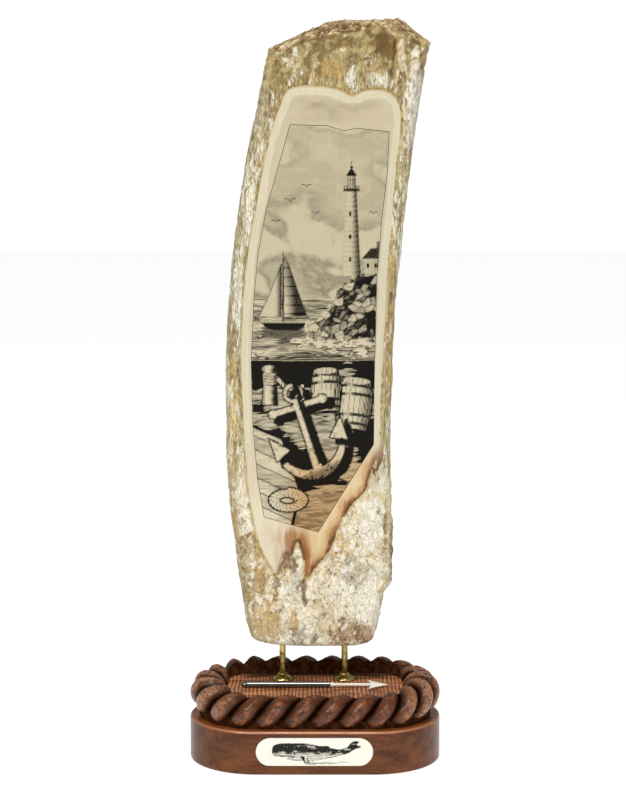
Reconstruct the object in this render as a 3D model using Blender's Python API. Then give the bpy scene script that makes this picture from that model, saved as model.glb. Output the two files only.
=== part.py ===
"""Section of old tusk on two brass posts, over a wooden base with a carved rope border.

Metres, +Z up. The polished face of the tusk and the plaque look along -Y. The origin is the middle
of the base's underside.
"""

import math

import bmesh
import bpy
from mathutils import Vector, noise

# Fits: the space left between two pieces that touch, and how far a cutter passes a surface
CLEARANCE = 0.0003
CUTTER_REACH = 0.004

# Base: a block whose outline has straight sides and half-round ends
BASE_LENGTH = 0.1244
BASE_DEPTH = 0.0680
PLINTH_HEIGHT = 0.0215
PLINTH_TOP_EDGE = 0.0012
PLINTH_FOOT_EDGE = 0.0005

# Tray inside the rope border
TRAY_LENGTH = 0.0880
TRAY_DEPTH = 0.0440
TRAY_CORNER = 0.0090
FLOOR_HEIGHT = 0.0355

# Rope border, carved in the block: its crest is cut down along the front, so that the tray shows
ROPE_WIDTH = 0.0180
ROPE_STRANDS = 23
ROPE_PLIES = 3
ROPE_GROOVE = 0.0032
ROPE_CREST_BACK = 0.0430
ROPE_CREST_ENDS = 0.0428
ROPE_CREST_FRONT = 0.0364
ROPE_UNDERSIDE_FRONT = 0.0219
ROPE_UNDERSIDE_ENDS = 0.0247
ROPE_SPACING_DRIFT = 0.05
ROPE_FOOT_ANGLE = -70.0
ROPE_SHALLOWING = 0.75
ROPE_SHALLOW_FROM = 110.0
STRAND_ROUNDNESS = 0.7
STEPS_PER_STRAND = 5
OUTER_STEPS = 8
INNER_STEPS = 4

# Posts: brass rods that run from the base up into the tusk
POST_DIAMETER = 0.0032
POST_SPACING = 0.0312
POST_MIDDLE_X = -0.0007
POST_Y = 0.0110
POST_IN_BASE = 0.0100
POST_IN_TUSK = 0.0150

# Collars: brass cups turned upside down round the foot of each post
COLLAR_DIAMETER = 0.0116
COLLAR_HEIGHT = 0.0032
COLLAR_RIM = 0.0008
COLLAR_NECK_WALL = 0.0007

# Tusk
TUSK_LENGTH = 0.3080
TUSK_LIFT = 0.0195
TUSK_WIDTH = 0.0832
TUSK_MIDDLE_X = -0.0030
TUSK_FRONT_DEPTH = 0.0130
TUSK_BACK_DEPTH = 0.0190
TUSK_LEFT_RADIUS = 0.6430
TUSK_RIGHT_RADIUS = 1.1930
TUSK_RIGHT_TRIM = 0.0012
TUSK_FOOT_NARROWING = 0.0045
TUSK_FOOT_ROUND = 0.0050
TUSK_TOP_ROUND = 0.0020
BREAK_RISE = 0.0075
BREAK_SHOULDER_LEFT = 0.0110
BREAK_SHOULDER_RIGHT = 0.0077
BREAK_PIT = 0.0022
LEDGE_WIDTH = 0.0036
LEDGE_STEP = 0.0012
BARK_RELIEF = 0.0007
TUSK_COLUMNS = 44
TUSK_ROWS = 30

# Shares of the tusk's own length, where its free form has its marks
LEFT_BULGE_AT = 0.401
RIGHT_BULGE_AT = 0.286
LEDGE_FROM = 0.092
LEDGE_TO = 0.330
FACE_FOOT = (0.150, 0.210)
FACE_HEAD = (0.855, 0.885)

# Shares of the tusk's half-width, from its middle line outward
FACE_SIDE = (0.74, 0.86)
LEDGE_SIDE = (0.90, 0.99)
LEFT_SHOULDER = (0.15, 1.0)
RIGHT_SHOULDER = (0.45, 1.0)
BREAK_RINGS = (0.88, 0.66, 0.38)

# How square the tusk's section is in front and behind, where 2 is an ellipse
FRONT_SQUARENESS = 3.1
BACK_SQUARENESS = 2.4

# Waves per metre of the bark's relief, across, through and along the tusk, and of the break
BARK_BROAD = (90, 90, 22)
BARK_FINE = (260, 260, 70)
BREAK_WAVES = 70

# Plaque let into the plinth's front
PLAQUE_LENGTH = 0.0573
PLAQUE_HEIGHT = 0.0144
PLAQUE_THICKNESS = 0.0020
PLAQUE_PROUD = 0.0004
PLAQUE_BELOW_TOP = 0.0027
PLAQUE_STEPS = 12

# Small harpoon that lies on the tray's floor: dark shaft, white shank and head
HARPOON_LENGTH = 0.0730
HARPOON_SHAFT_LENGTH = 0.0443
HARPOON_SHAFT_DIAMETER = 0.0027
HARPOON_SHANK_DIAMETER = 0.0016
HARPOON_END_TAPER = 0.0032
HARPOON_HEAD_LENGTH = 0.0100
HARPOON_HEAD_WIDTH = 0.0088
HARPOON_HEAD_THICKNESS = 0.0008
HARPOON_BARB_SWEEP = 0.0016
HARPOON_HEAD_ROLL = 12.5
HARPOON_Y = -0.0055
HARPOON_END_X = -0.0367

# Figures worked out from those above
HALF_LENGTH = BASE_LENGTH / 2
HALF_DEPTH = BASE_DEPTH / 2
STRAIGHT = HALF_LENGTH - HALF_DEPTH
OUTLINE_LENGTH = 4 * STRAIGHT + 2 * math.pi * HALF_DEPTH
ROPE_RADIUS = ROPE_WIDTH / 2
POST_RADIUS = POST_DIAMETER / 2
TUSK_BOTTOM = FLOOR_HEIGHT + TUSK_LIFT
TUSK_Y = POST_Y - (TUSK_BACK_DEPTH - TUSK_FRONT_DEPTH) / 2


def clear_scene():
    for obj in list(bpy.data.objects):
        bpy.data.objects.remove(obj)


def smooth_step(low, high, value):
    t = min(max((value - low) / (high - low), 0.0), 1.0)
    return t * t * (3 - 2 * t)


def material(name, colour, roughness, metallic=0.0):
    made = bpy.data.materials.new(name)
    made.use_nodes = True
    shader = made.node_tree.nodes["Principled BSDF"]
    shader.inputs["Base Color"].default_value = (*colour, 1.0)
    shader.inputs["Roughness"].default_value = roughness
    shader.inputs["Metallic"].default_value = metallic
    made.diffuse_color = (*colour, 1.0)
    return made


def object_from_bmesh(name, mesh_data, finish=None, smooth_angle=35.0):
    """A new object from a bmesh, with its normals facing out and its round parts shaded smooth."""
    bmesh.ops.recalc_face_normals(mesh_data, faces=mesh_data.faces)
    mesh = bpy.data.meshes.new(name)
    mesh_data.to_mesh(mesh)
    mesh_data.free()
    mesh.shade_smooth()
    mesh.set_sharp_from_angle(angle=math.radians(smooth_angle))
    obj = bpy.data.objects.new(name, mesh)
    bpy.context.scene.collection.objects.link(obj)
    if finish:
        mesh.materials.append(finish)
    return obj


def cut(obj, cutter):
    """Take the cutter's volume away from the object, and keep the cutter out of the model."""
    cutter.hide_render = True
    cutter.display_type = "WIRE"
    modifier = obj.modifiers.new("Cut " + cutter.name, "BOOLEAN")
    modifier.operation = "DIFFERENCE"
    modifier.solver = "EXACT"
    modifier.object = cutter


def skin_rows(mesh_data, rows):
    """Faces between closed rows of vertices that all have the same number of points."""
    count = len(rows[0])
    for low, high in zip(rows, rows[1:]):
        for i in range(count):
            j = (i + 1) % count
            mesh_data.faces.new((low[i], low[j], high[j], high[i]))


def turned(name, profile, segments, finish=None):
    """A closed ring turned round Z from a closed profile of (radius, height) points."""
    mesh_data = bmesh.new()
    columns = []
    for k in range(segments):
        angle = 2 * math.pi * k / segments
        columns.append([
            mesh_data.verts.new((r * math.cos(angle), r * math.sin(angle), z)) for r, z in profile
        ])
    columns.append(columns[0])
    skin_rows(mesh_data, columns)
    return object_from_bmesh(name, mesh_data, finish)


def rod(name, radius, length, segments, finish=None):
    """A solid cylinder that stands on its origin."""
    mesh_data = bmesh.new()
    bmesh.ops.create_cone(
        mesh_data, cap_ends=True, segments=segments, radius1=radius, radius2=radius, depth=length
    )
    bmesh.ops.translate(mesh_data, verts=mesh_data.verts, vec=(0, 0, length / 2))
    return object_from_bmesh(name, mesh_data, finish)


def outline_point(s):
    """Point and outward direction on the base's outline, s metres on from the middle of the front."""
    s = s % OUTLINE_LENGTH
    half_turn = math.pi * HALF_DEPTH
    if s < STRAIGHT:
        return s, -HALF_DEPTH, 0.0, -1.0
    s -= STRAIGHT
    if s < half_turn:
        angle = s / HALF_DEPTH - math.pi / 2
        c, n = math.cos(angle), math.sin(angle)
        return STRAIGHT + HALF_DEPTH * c, HALF_DEPTH * n, c, n
    s -= half_turn
    if s < 2 * STRAIGHT:
        return STRAIGHT - s, HALF_DEPTH, 0.0, 1.0
    s -= 2 * STRAIGHT
    if s < half_turn:
        angle = s / HALF_DEPTH + math.pi / 2
        c, n = math.cos(angle), math.sin(angle)
        return -STRAIGHT + HALF_DEPTH * c, HALF_DEPTH * n, c, n
    return s - half_turn - STRAIGHT, -HALF_DEPTH, 0.0, -1.0


def outside_tray(x, y):
    """How far a point lies outside the tray's outline, a rectangle with round corners."""
    dx = abs(x) - (TRAY_LENGTH / 2 - TRAY_CORNER)
    dy = abs(y) - (TRAY_DEPTH / 2 - TRAY_CORNER)
    return math.hypot(max(dx, 0), max(dy, 0)) + min(max(dx, dy), 0) - TRAY_CORNER


def border_width(s):
    """Distance from the base's outline in to the tray's outline, square to the first."""
    x, y, nx, ny = outline_point(s)
    near, far = 0.0, HALF_DEPTH
    for _ in range(40):
        middle = (near + far) / 2
        if outside_tray(x - nx * middle, y - ny * middle) > 0:
            near = middle
        else:
            far = middle
    return far


def strand_position(turns):
    """Distance along the outline after this many strands, a little closer together at the front."""
    share = turns / ROPE_STRANDS
    drift = ROPE_SPACING_DRIFT * math.sin(2 * math.pi * share) / (2 * math.pi)
    return OUTLINE_LENGTH * (share - drift)


def rope_levels(facing):
    """Middle and half-height of the rope's section. facing is 1 at the front and -1 at the back."""
    front = max(facing, 0.0) ** 2
    back = max(-facing, 0.0) ** 2
    crest = ROPE_CREST_ENDS + front * (ROPE_CREST_FRONT - ROPE_CREST_ENDS)
    crest += back * (ROPE_CREST_BACK - ROPE_CREST_ENDS)
    underside = ROPE_UNDERSIDE_ENDS + front * (ROPE_UNDERSIDE_FRONT - ROPE_UNDERSIDE_ENDS)
    return (crest + underside) / 2, (crest - underside) / 2


def strand_fullness(phase):
    """1 on the back of a strand and 0 in the groove between two."""
    return abs(math.sin(math.pi * phase)) ** STRAND_ROUNDNESS


def rope_section(angle, fullness, facing):
    """Inset and height of the rope's surface. The angle is 0 outward and 90 at the crest."""
    middle, half_height = rope_levels(facing)
    depth = ROPE_GROOVE * (1 - ROPE_SHALLOWING * smooth_step(ROPE_SHALLOW_FROM, 180, angle))
    share = 1 - depth / ROPE_RADIUS * (1 - fullness)
    turn = math.radians(angle)
    inset = ROPE_RADIUS * (1 - share * math.cos(turn))
    return inset, middle + half_height * share * math.sin(turn)


def rope_end_angle(fullness, facing, width):
    """Angle at which the rope's inner side meets the tray's wall or its floor."""
    low, high = 90.0, 180.0
    starts_above = rope_section(90.0, fullness, facing)[1] > FLOOR_HEIGHT
    for _ in range(30):
        angle = (low + high) / 2
        inset, height = rope_section(angle, fullness, facing)
        if inset > width or (starts_above and height < FLOOR_HEIGHT):
            high = angle
        else:
            low = angle
    return low


def border_column(turns):
    """Points up one line of the border: plinth, underside, strand, then down to the floor."""
    fullness = strand_fullness(turns)

    def place(angle):
        return strand_position(turns + ROPE_PLIES * (angle - 90.0) / 360.0)

    def world(s, inset, height):
        x, y, nx, ny = outline_point(s)
        return x - nx * inset, y - ny * inset, height

    foot = place(ROPE_FOOT_ANGLE)
    foot_facing = -outline_point(foot)[3]
    foot_inset = rope_section(ROPE_FOOT_ANGLE, fullness, foot_facing)[0]
    edge = PLINTH_TOP_EDGE
    points = [
        world(foot, PLINTH_FOOT_EDGE, 0.0),
        world(foot, 0.0, PLINTH_FOOT_EDGE),
        world(foot, 0.0, PLINTH_HEIGHT - edge),
        world(foot, 0.3 * edge, PLINTH_HEIGHT - 0.3 * edge),
        world(foot, edge, PLINTH_HEIGHT),
        world(foot, foot_inset, PLINTH_HEIGHT),
    ]
    for k in range(OUTER_STEPS + 1):
        angle = ROPE_FOOT_ANGLE + (90.0 - ROPE_FOOT_ANGLE) * k / OUTER_STEPS
        s = place(angle)
        inset, height = rope_section(angle, fullness, -outline_point(s)[3])
        points.append(world(s, inset, height))
    crest = place(90.0)
    crest_facing = -outline_point(crest)[3]
    last = rope_end_angle(fullness, crest_facing, border_width(crest))
    full_last = rope_end_angle(1.0, crest_facing, border_width(crest))
    for k in range(1, INNER_STEPS + 1):
        share = k / INNER_STEPS
        s = place(90.0 + (full_last - 90.0) * share)
        inset, height = rope_section(90.0 + (last - 90.0) * share, fullness, crest_facing)
        points.append(world(s, min(inset, border_width(s)), height))
    s = place(full_last)
    points.append(world(s, border_width(s) + CLEARANCE, FLOOR_HEIGHT))
    return points


def make_base(finish):
    mesh_data = bmesh.new()
    count = ROPE_STRANDS * STEPS_PER_STRAND
    columns = [border_column(i / STEPS_PER_STRAND) for i in range(count)]
    rows = [[mesh_data.verts.new(column[j]) for column in columns] for j in range(len(columns[0]))]
    skin_rows(mesh_data, rows)
    mesh_data.faces.new(reversed(rows[0]))
    mesh_data.faces.new(rows[-1])
    return object_from_bmesh("carved_base", mesh_data, finish, smooth_angle=50.0)


def tusk_edges(height):
    """Left and right edge of the tusk at a height above its foot: two arcs that bulge to the left."""
    left = TUSK_MIDDLE_X - TUSK_WIDTH / 2
    left += (height - LEFT_BULGE_AT * TUSK_LENGTH) ** 2 / (2 * TUSK_LEFT_RADIUS)
    right = TUSK_MIDDLE_X + TUSK_WIDTH / 2 - TUSK_RIGHT_TRIM
    bend = (height - RIGHT_BULGE_AT * TUSK_LENGTH) / (RIGHT_BULGE_AT * TUSK_LENGTH)
    if bend > 0:
        right += (height - RIGHT_BULGE_AT * TUSK_LENGTH) ** 2 / (2 * TUSK_RIGHT_RADIUS)
    else:
        right -= TUSK_FOOT_NARROWING * bend**2
    return left, right


def section_corner(angle):
    """Point of a section with half-sizes of 1: flat in front, at -Y, and rounder behind."""
    c, s = math.cos(angle), math.sin(angle)
    power = 2 / (FRONT_SQUARENESS if s < 0 else BACK_SQUARENESS)
    return math.copysign(abs(c) ** power, c), math.copysign(abs(s) ** power, s)


def broken_top(across, through):
    """Height of the broken end: higher behind, and lower at both shoulders."""
    left_drop = BREAK_SHOULDER_LEFT * smooth_step(*LEFT_SHOULDER, -across)
    right_drop = BREAK_SHOULDER_RIGHT * smooth_step(*RIGHT_SHOULDER, across)
    return TUSK_LENGTH - BREAK_RISE * (1 - through) / 2 - left_drop - right_drop


def waves(point, scales):
    """Smooth noise from -1 to 1 with this many waves a metre along each axis."""
    return noise.noise(Vector([p * scale for p, scale in zip(point, scales)]))


def bark(x, y, z):
    """Bark relief that runs in streaks along the tusk."""
    point = (x, y, z)
    return BARK_RELIEF * (1.3 * waves(point, BARK_BROAD) + 0.7 * waves(point, BARK_FINE))


def face_share(across, through, height):
    """1 on the polished face and 0 on the bark round it."""
    low = smooth_step(*FACE_FOOT, height / TUSK_LENGTH)
    high = 1 - smooth_step(*FACE_HEAD, height / TUSK_LENGTH)
    side = 1 - smooth_step(*FACE_SIDE, abs(across))
    return low * high * side if through < 0 else 0.0


def ledge(height, across, through):
    """A sliver of bark that stands out low on the right side and ends in a step."""
    inner, outer = LEDGE_FROM * TUSK_LENGTH, LEDGE_TO * TUSK_LENGTH
    if height < inner or across < 0:
        return 0.0
    fade = 1 - smooth_step(inner, outer, height)
    return LEDGE_WIDTH * fade * smooth_step(*LEDGE_SIDE, across) * (1 - 0.5 * max(through, 0))


def tusk_point(angle, height, inset=0.0, share=1.0):
    """Point on the tusk's skin, or on its ends where the inset or the share draws it inwards."""
    left, right = tusk_edges(height)
    across, through = section_corner(angle)
    half = (right - left) / 2
    depth = TUSK_FRONT_DEPTH if through < 0 else TUSK_BACK_DEPTH
    x = (left + right) / 2 + across * (half - inset) * share
    y = TUSK_Y + through * (depth - inset) * share
    relief = bark(x, y, height) * (1 - face_share(across, through, height))
    x += relief * across + ledge(height, across, through)
    y += relief * through
    return x, y, TUSK_BOTTOM + height


def tusk_heights(angle):
    """Heights up one line of the tusk's skin, from its rounded foot to its broken end."""
    across, through = section_corner(angle)
    top = broken_top(across, through)
    inner = LEDGE_FROM * TUSK_LENGTH
    heights = [inner * k / 3 for k in range(1, 3)]
    heights += [inner - LEDGE_STEP / 2, inner + LEDGE_STEP / 2]
    stretch = top - TUSK_TOP_ROUND - inner
    heights += [inner + stretch * k / TUSK_ROWS for k in range(1, TUSK_ROWS + 1)]
    return heights


def make_tusk(finish):
    mesh_data = bmesh.new()
    angles = [2 * math.pi * (k + 0.5) / TUSK_COLUMNS for k in range(TUSK_COLUMNS)]
    columns = []
    for angle in angles:
        across, through = section_corner(angle)
        top = broken_top(across, through)
        line = []
        for inset, height, share in ((1.0, 0.0, 0.5), (1.0, 0.0, 1.0), (0.3, 0.3, 1.0)):
            line.append(tusk_point(angle, height * TUSK_FOOT_ROUND, inset * TUSK_FOOT_ROUND, share))
        line += [tusk_point(angle, height) for height in tusk_heights(angle)]
        line.append(tusk_point(angle, top - 0.3 * TUSK_TOP_ROUND, 0.3 * TUSK_TOP_ROUND))
        for share in BREAK_RINGS:
            height = broken_top(across * share, through * share)
            x, y, z = tusk_point(angle, height, share=share)
            line.append((x, y, z + BREAK_PIT * waves((x, y, 0.0), [BREAK_WAVES] * 3)))
        columns.append(line)
    rows = [[mesh_data.verts.new(column[j]) for column in columns] for j in range(len(columns[0]))]
    skin_rows(mesh_data, rows)
    for row, turned_over in ((rows[0], True), (rows[-1], False)):
        middle = sum((v.co for v in row), Vector()) / len(row)
        hub = mesh_data.verts.new(middle)
        for i, vert in enumerate(row):
            following = row[(i + 1) % len(row)]
            mesh_data.faces.new((following, vert, hub) if turned_over else (vert, following, hub))
    return object_from_bmesh("tusk", mesh_data, finish, smooth_angle=45.0)


def stadium(length, height, steps):
    """Outline with half-round ends, as (x, z) points round its middle."""
    radius = height / 2
    reach = length / 2 - radius
    points = []
    for side, start in ((1, -math.pi / 2), (-1, math.pi / 2)):
        for k in range(steps + 1):
            angle = start + math.pi * k / steps
            points.append((side * reach + radius * math.cos(angle), radius * math.sin(angle)))
    return points


def slab(name, outline, front, back, finish=None):
    """A solid between the planes y = front and y = back, with an outline of (x, z) points."""
    mesh_data = bmesh.new()
    rows = [[mesh_data.verts.new((x, y, z)) for x, z in outline] for y in (front, back)]
    skin_rows(mesh_data, rows)
    mesh_data.faces.new(rows[0])
    mesh_data.faces.new(reversed(rows[1]))
    return object_from_bmesh(name, mesh_data, finish)


def make_plaque(base, finish):
    middle = PLINTH_HEIGHT - PLAQUE_BELOW_TOP - PLAQUE_HEIGHT / 2
    front = -HALF_DEPTH - PLAQUE_PROUD
    back = front + PLAQUE_THICKNESS
    plaque = slab(
        "whale_plaque", stadium(PLAQUE_LENGTH, PLAQUE_HEIGHT, PLAQUE_STEPS), front, back, finish
    )
    pocket = slab(
        "plaque_pocket",
        stadium(PLAQUE_LENGTH + 2 * CLEARANCE, PLAQUE_HEIGHT + 2 * CLEARANCE, PLAQUE_STEPS),
        front - CUTTER_REACH,
        back + CLEARANCE,
    )
    plaque.location.z = pocket.location.z = middle
    cut(base, pocket)


def make_post(side, x, base, tusk, finish):
    bottom = FLOOR_HEIGHT - POST_IN_BASE
    length = POST_IN_BASE + TUSK_LIFT + POST_IN_TUSK
    post = rod("brass_post_" + side, POST_RADIUS, length, 24, finish)
    post.location = (x, POST_Y, bottom)
    lower = rod("hole_in_base_" + side, POST_RADIUS + CLEARANCE, POST_IN_BASE + CUTTER_REACH, 24)
    lower.location = (x, POST_Y, bottom - CLEARANCE)
    upper = rod("hole_in_tusk_" + side, POST_RADIUS + CLEARANCE, POST_IN_TUSK + CUTTER_REACH, 24)
    upper.location = (x, POST_Y, TUSK_BOTTOM - CUTTER_REACH + CLEARANCE)
    cut(base, lower)
    cut(tusk, upper)


def make_collar(side, x, finish):
    bore = POST_RADIUS + CLEARANCE
    neck = bore + COLLAR_NECK_WALL
    rim = COLLAR_DIAMETER / 2
    profile = [(bore, 0.0), (rim, 0.0), (rim, COLLAR_RIM)]
    for k in range(1, 6):
        share = k / 5
        flare = (1 - share) ** 1.8
        profile.append((neck + (rim - neck) * flare, COLLAR_RIM + (COLLAR_HEIGHT - COLLAR_RIM) * share))
    profile.append((bore, COLLAR_HEIGHT))
    collar = turned("brass_collar_" + side, profile, 32, finish)
    collar.location = (x, POST_Y, FLOOR_HEIGHT + CLEARANCE)


def rounded_rod(name, radius, length, taper, finish):
    """A rod along +X from its origin, whose first end narrows to a round tip."""
    mesh_data = bmesh.new()
    stations = [(taper * (1 - math.cos(a)), radius * math.sin(a)) for a in (0.35, 0.7, 1.1, 1.57)]
    stations.append((length, radius))
    rows = []
    for x, r in stations:
        turns = [2 * math.pi * k / 16 for k in range(16)]
        rows.append([mesh_data.verts.new((x, r * math.cos(t), r * math.sin(t))) for t in turns])
    skin_rows(mesh_data, rows)
    mesh_data.faces.new(rows[0])
    mesh_data.faces.new(reversed(rows[-1]))
    return object_from_bmesh(name, mesh_data, finish)


def head_outline():
    """Barbed head as (x, y) points, with its tip at the origin and its shank behind it."""
    half, neck = HARPOON_HEAD_WIDTH / 2, HARPOON_SHANK_DIAMETER / 2
    back = -HARPOON_HEAD_LENGTH
    upper = [
        (0.45 * back, 0.42 * half),
        (back, half),
        (back + HARPOON_BARB_SWEEP, neck),
    ]
    lower = [(x, -y) for x, y in reversed(upper)]
    return [(0.0, 0.0), *upper, *lower]


def make_harpoon(dark, white):
    """Shaft, then the shank and head as one white piece, lying on the floor."""
    axis_height = FLOOR_HEIGHT + CLEARANCE + HARPOON_SHAFT_DIAMETER / 2
    shaft = rounded_rod(
        "harpoon_shaft",
        HARPOON_SHAFT_DIAMETER / 2,
        HARPOON_SHAFT_LENGTH,
        HARPOON_END_TAPER,
        dark,
    )
    shaft.location = (HARPOON_END_X, HARPOON_Y, axis_height)
    tip = HARPOON_END_X + HARPOON_LENGTH
    start = HARPOON_END_X + HARPOON_SHAFT_LENGTH + CLEARANCE
    shank_length = tip - start - 0.5 * HARPOON_HEAD_LENGTH
    head = rod("harpoon_head", HARPOON_SHANK_DIAMETER / 2, shank_length, 16, white)
    head.rotation_euler = (0, math.pi / 2, 0)
    head.location = (start, HARPOON_Y, axis_height)
    mesh_data = bmesh.new()
    half = HARPOON_HEAD_THICKNESS / 2
    rows = [[mesh_data.verts.new((x, y, z)) for x, y in head_outline()] for z in (-half, half)]
    skin_rows(mesh_data, rows)
    mesh_data.faces.new(reversed(rows[0]))
    mesh_data.faces.new(rows[1])
    blade = object_from_bmesh("harpoon_blade_shape", mesh_data)
    blade.rotation_euler = (math.radians(HARPOON_HEAD_ROLL), 0, 0)
    blade.location = (tip, HARPOON_Y, axis_height)
    blade.hide_render = True
    blade.display_type = "WIRE"
    joined = head.modifiers.new("Join blade", "BOOLEAN")
    joined.operation = "UNION"
    joined.solver = "EXACT"
    joined.object = blade


def main():
    clear_scene()
    wood = material("Walnut brown wood", (0.17, 0.062, 0.026), 0.42)
    brass = material("Aged brass", (0.55, 0.40, 0.14), 0.32, metallic=1.0)
    ivory = material("Old ivory", (0.74, 0.64, 0.46), 0.45)
    white = material("White bone", (0.86, 0.83, 0.74), 0.35)
    ebony = material("Black ebony", (0.010, 0.009, 0.009), 0.20)
    base = make_base(wood)
    tusk = make_tusk(ivory)
    for side, sign in (("left", -1), ("right", 1)):
        x = POST_MIDDLE_X + sign * POST_SPACING / 2
        make_post(side, x, base, tusk, brass)
        make_collar(side, x, brass)
    make_plaque(base, white)
    make_harpoon(ebony, white)


main()
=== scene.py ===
"""Looks of the engraved tusk section on its carved wooden stand.

Shapes are worked out in millimetres, in the frame of the solids: x to the right, y away from
the viewer, z up, from the middle of the base's underside.
"""

import itertools
import math

import bpy
import numpy as np
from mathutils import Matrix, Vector


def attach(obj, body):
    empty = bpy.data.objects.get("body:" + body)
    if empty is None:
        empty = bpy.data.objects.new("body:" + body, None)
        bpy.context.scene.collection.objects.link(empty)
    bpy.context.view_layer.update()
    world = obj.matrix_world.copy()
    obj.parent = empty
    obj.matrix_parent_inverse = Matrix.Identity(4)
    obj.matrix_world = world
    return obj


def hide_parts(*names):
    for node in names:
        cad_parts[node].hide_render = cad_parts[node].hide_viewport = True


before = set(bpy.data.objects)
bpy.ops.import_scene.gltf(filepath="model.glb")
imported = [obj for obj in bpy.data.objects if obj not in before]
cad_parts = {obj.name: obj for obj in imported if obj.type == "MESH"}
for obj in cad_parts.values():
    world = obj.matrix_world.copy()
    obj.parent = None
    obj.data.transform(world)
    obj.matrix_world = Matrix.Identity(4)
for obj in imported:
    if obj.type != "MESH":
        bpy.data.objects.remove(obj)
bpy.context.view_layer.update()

MM = 0.001

# Base, rope border and tray
HALF_LENGTH, HALF_DEPTH = 62.2, 34.0
STRAIGHT = HALF_LENGTH - HALF_DEPTH
OUTLINE = 4 * STRAIGHT + 2 * math.pi * HALF_DEPTH
PLINTH_HEIGHT = 21.5
PLINTH_EDGE = 1.3
FLOOR = 35.5
TRAY_HALF = (43.5, 22.0)
TRAY_CORNER = 13.0
ROPE_WIDTH = 18.0
ROPE_FOOT = -70.0  # angles round the rope's section, 0 outwards and 90 at its crest
ROPE_CREST = 90.0
STRANDS = 23
TWIST = 1.75
TWIST_START = 0.41
GROOVE = 4.4
STRAND_SIZES = {
    "Strands": float(STRANDS), "Twist": TWIST, "Start": TWIST_START,
    "Groove": GROOVE / (ROPE_WIDTH / 2), "Roundness": 0.8, "Knife Marks": 1.1 * MM,
    "Knife Size": 2.2 * MM, "Seed": 7.0,
}
CREST = {"front": 37.2, "back": 43.6, "ends": 41.9}
UNDERSIDE = {"front": 21.9, "ends": 24.7}
SPACING_DRIFT = 0.06

# Posts and collars
POSTS_X = (-16.3, 14.9)
POST_Y = 11.0
POST_RADIUS = 1.6
POST_LEVELS = (26.0, 40.0, 55.0, 69.5)
COLLAR_RADIUS = 5.8
COLLAR_HEIGHT = 3.2

# Tusk
FOOT = 55.0
LENGTH = 308.0
MIDDLE_X = -3.0
HALF_WIDTH = 41.6
LEFT_TURN, LEFT_RADIUS = 0.401 * LENGTH, 643.0  # height where an edge turns, and its curve
RIGHT_TURN, RIGHT_RADIUS = 0.286 * LENGTH, 1193.0
FOOT_TAPER = 4.5
TUSK_Y = 8.0
FRONT_DEPTH, BACK_DEPTH = 13.0, 19.0
FRONT_SQUARE, BACK_SQUARE = 3.1, 2.4
FOOT_ROUNDING, TOP_ROUNDING = 4.2, 1.0
BED_DEPTH = 1.2  # of the polished face, under the bark's smooth level
BARK_FRONT, BARK_BACK, BARK_ROWS = 128, 66, 372
FACE_SPAN = (89.0, 331.8)
FACE_ROWS, FACE_COLUMNS = 540, 164

# Plaque
PLAQUE_MIDDLE = (-0.3, 11.6)
PLAQUE_SIZE = (57.3, 14.4)
PLAQUE_FRONT = -34.4
PLAQUE_DEPTH = 2.0
PLAQUE_ROWS, PLAQUE_COLUMNS = 61, 231

# Harpoon
HARPOON_Y = -5.5
HARPOON_Z = 37.15
HARPOON_ENDS = (-36.7, 7.6, 36.3)  # butt, end of the shaft, tip
SHAFT_RADIUS = 1.5
BLADE_ROLL = math.radians(12.5)

# Camera, in metres, its focal length in pixels of a picture this high
FOCAL_PIXELS, PICTURE_HEIGHT, SENSOR = 2061.5, 800, 36.0
CAMERA_PLACE = (-0.001, -1.0, 0.315)
CAMERA_DIP = 7.75

# Studio, in metres
STAGE_HALF, STAGE_GAP = 4.0, 2e-4
LIGHTS = (
    # name, place, aim, size, watts
    ("Key", (-0.8, -1.3, 1.15), (0, 0, 0.2), (0.6, 0.6), 11),
    ("Fill", (1.1, -1.3, 0.5), (0, 0, 0.2), (0.7, 0.7), 4.5),
    ("Top", (0.0, -0.62, 1.3), (0, -0.02, 0.05), (0.3, 0.8), 7),
)


# ---------------------------------------------------------------- numbers and shapes


def smooth(low, high, value):
    t = np.clip((np.asarray(value, float) - low) / (high - low), 0, 1)
    return t * t * (3 - 2 * t)


def screen(r, g, b):
    """A colour as it looks on the screen, 0 to 255, turned into the light that it sends back."""
    c = np.array((r, g, b), float) / 255
    return np.where(c <= 0.04045, c / 12.92, ((c + 0.055) / 1.055) ** 2.4)


def blend(under, over, share):
    share = np.asarray(share, float)[..., None]
    return under * (1 - share) + over * share


def rumple(points, size, octaves=1, seed=0):
    """Smooth random values, about -1 to 1, with bumps this many millimetres wide on each axis."""
    points = np.stack([np.asarray(p, float) for p in points], -1)
    table = np.random.default_rng(seed).uniform(-1, 1, (32, 32, 32))
    scale, weight, total, norm = 1.0 / np.asarray(size, float), 1.0, 0.0, 0.0
    for octave in range(octaves):
        place = points * scale + 11.3 * octave + 0.37 * seed
        cell = np.floor(place).astype(int)
        f = place - cell
        f = f * f * (3 - 2 * f)
        value = 0.0
        for corner in itertools.product((0, 1), repeat=3):
            c = (cell + corner) % 32
            near = np.where(np.array(corner, bool), f, 1 - f).prod(-1)
            value = value + near * table[c[..., 0], c[..., 1], c[..., 2]]
        total = total + weight * value
        norm += weight
        weight *= 0.55
        scale = scale * 2.03
    return 1.6 * total / norm


def rounded_outline(points, steps=4):
    """A smooth closed curve through the points."""
    p = np.array(points, float)
    before, after, last = np.roll(p, 1, 0), np.roll(p, -1, 0), np.roll(p, -2, 0)
    made = []
    for k in range(steps):
        t = k / steps
        bend = (2 * before - 5 * p + 4 * after - last) * t**2
        bend = bend + (3 * p - before - 3 * after + last) * t**3
        made.append(p + ((after - before) * t + bend) / 2)
    return np.stack(made, 1).reshape(-1, 2)


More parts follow.
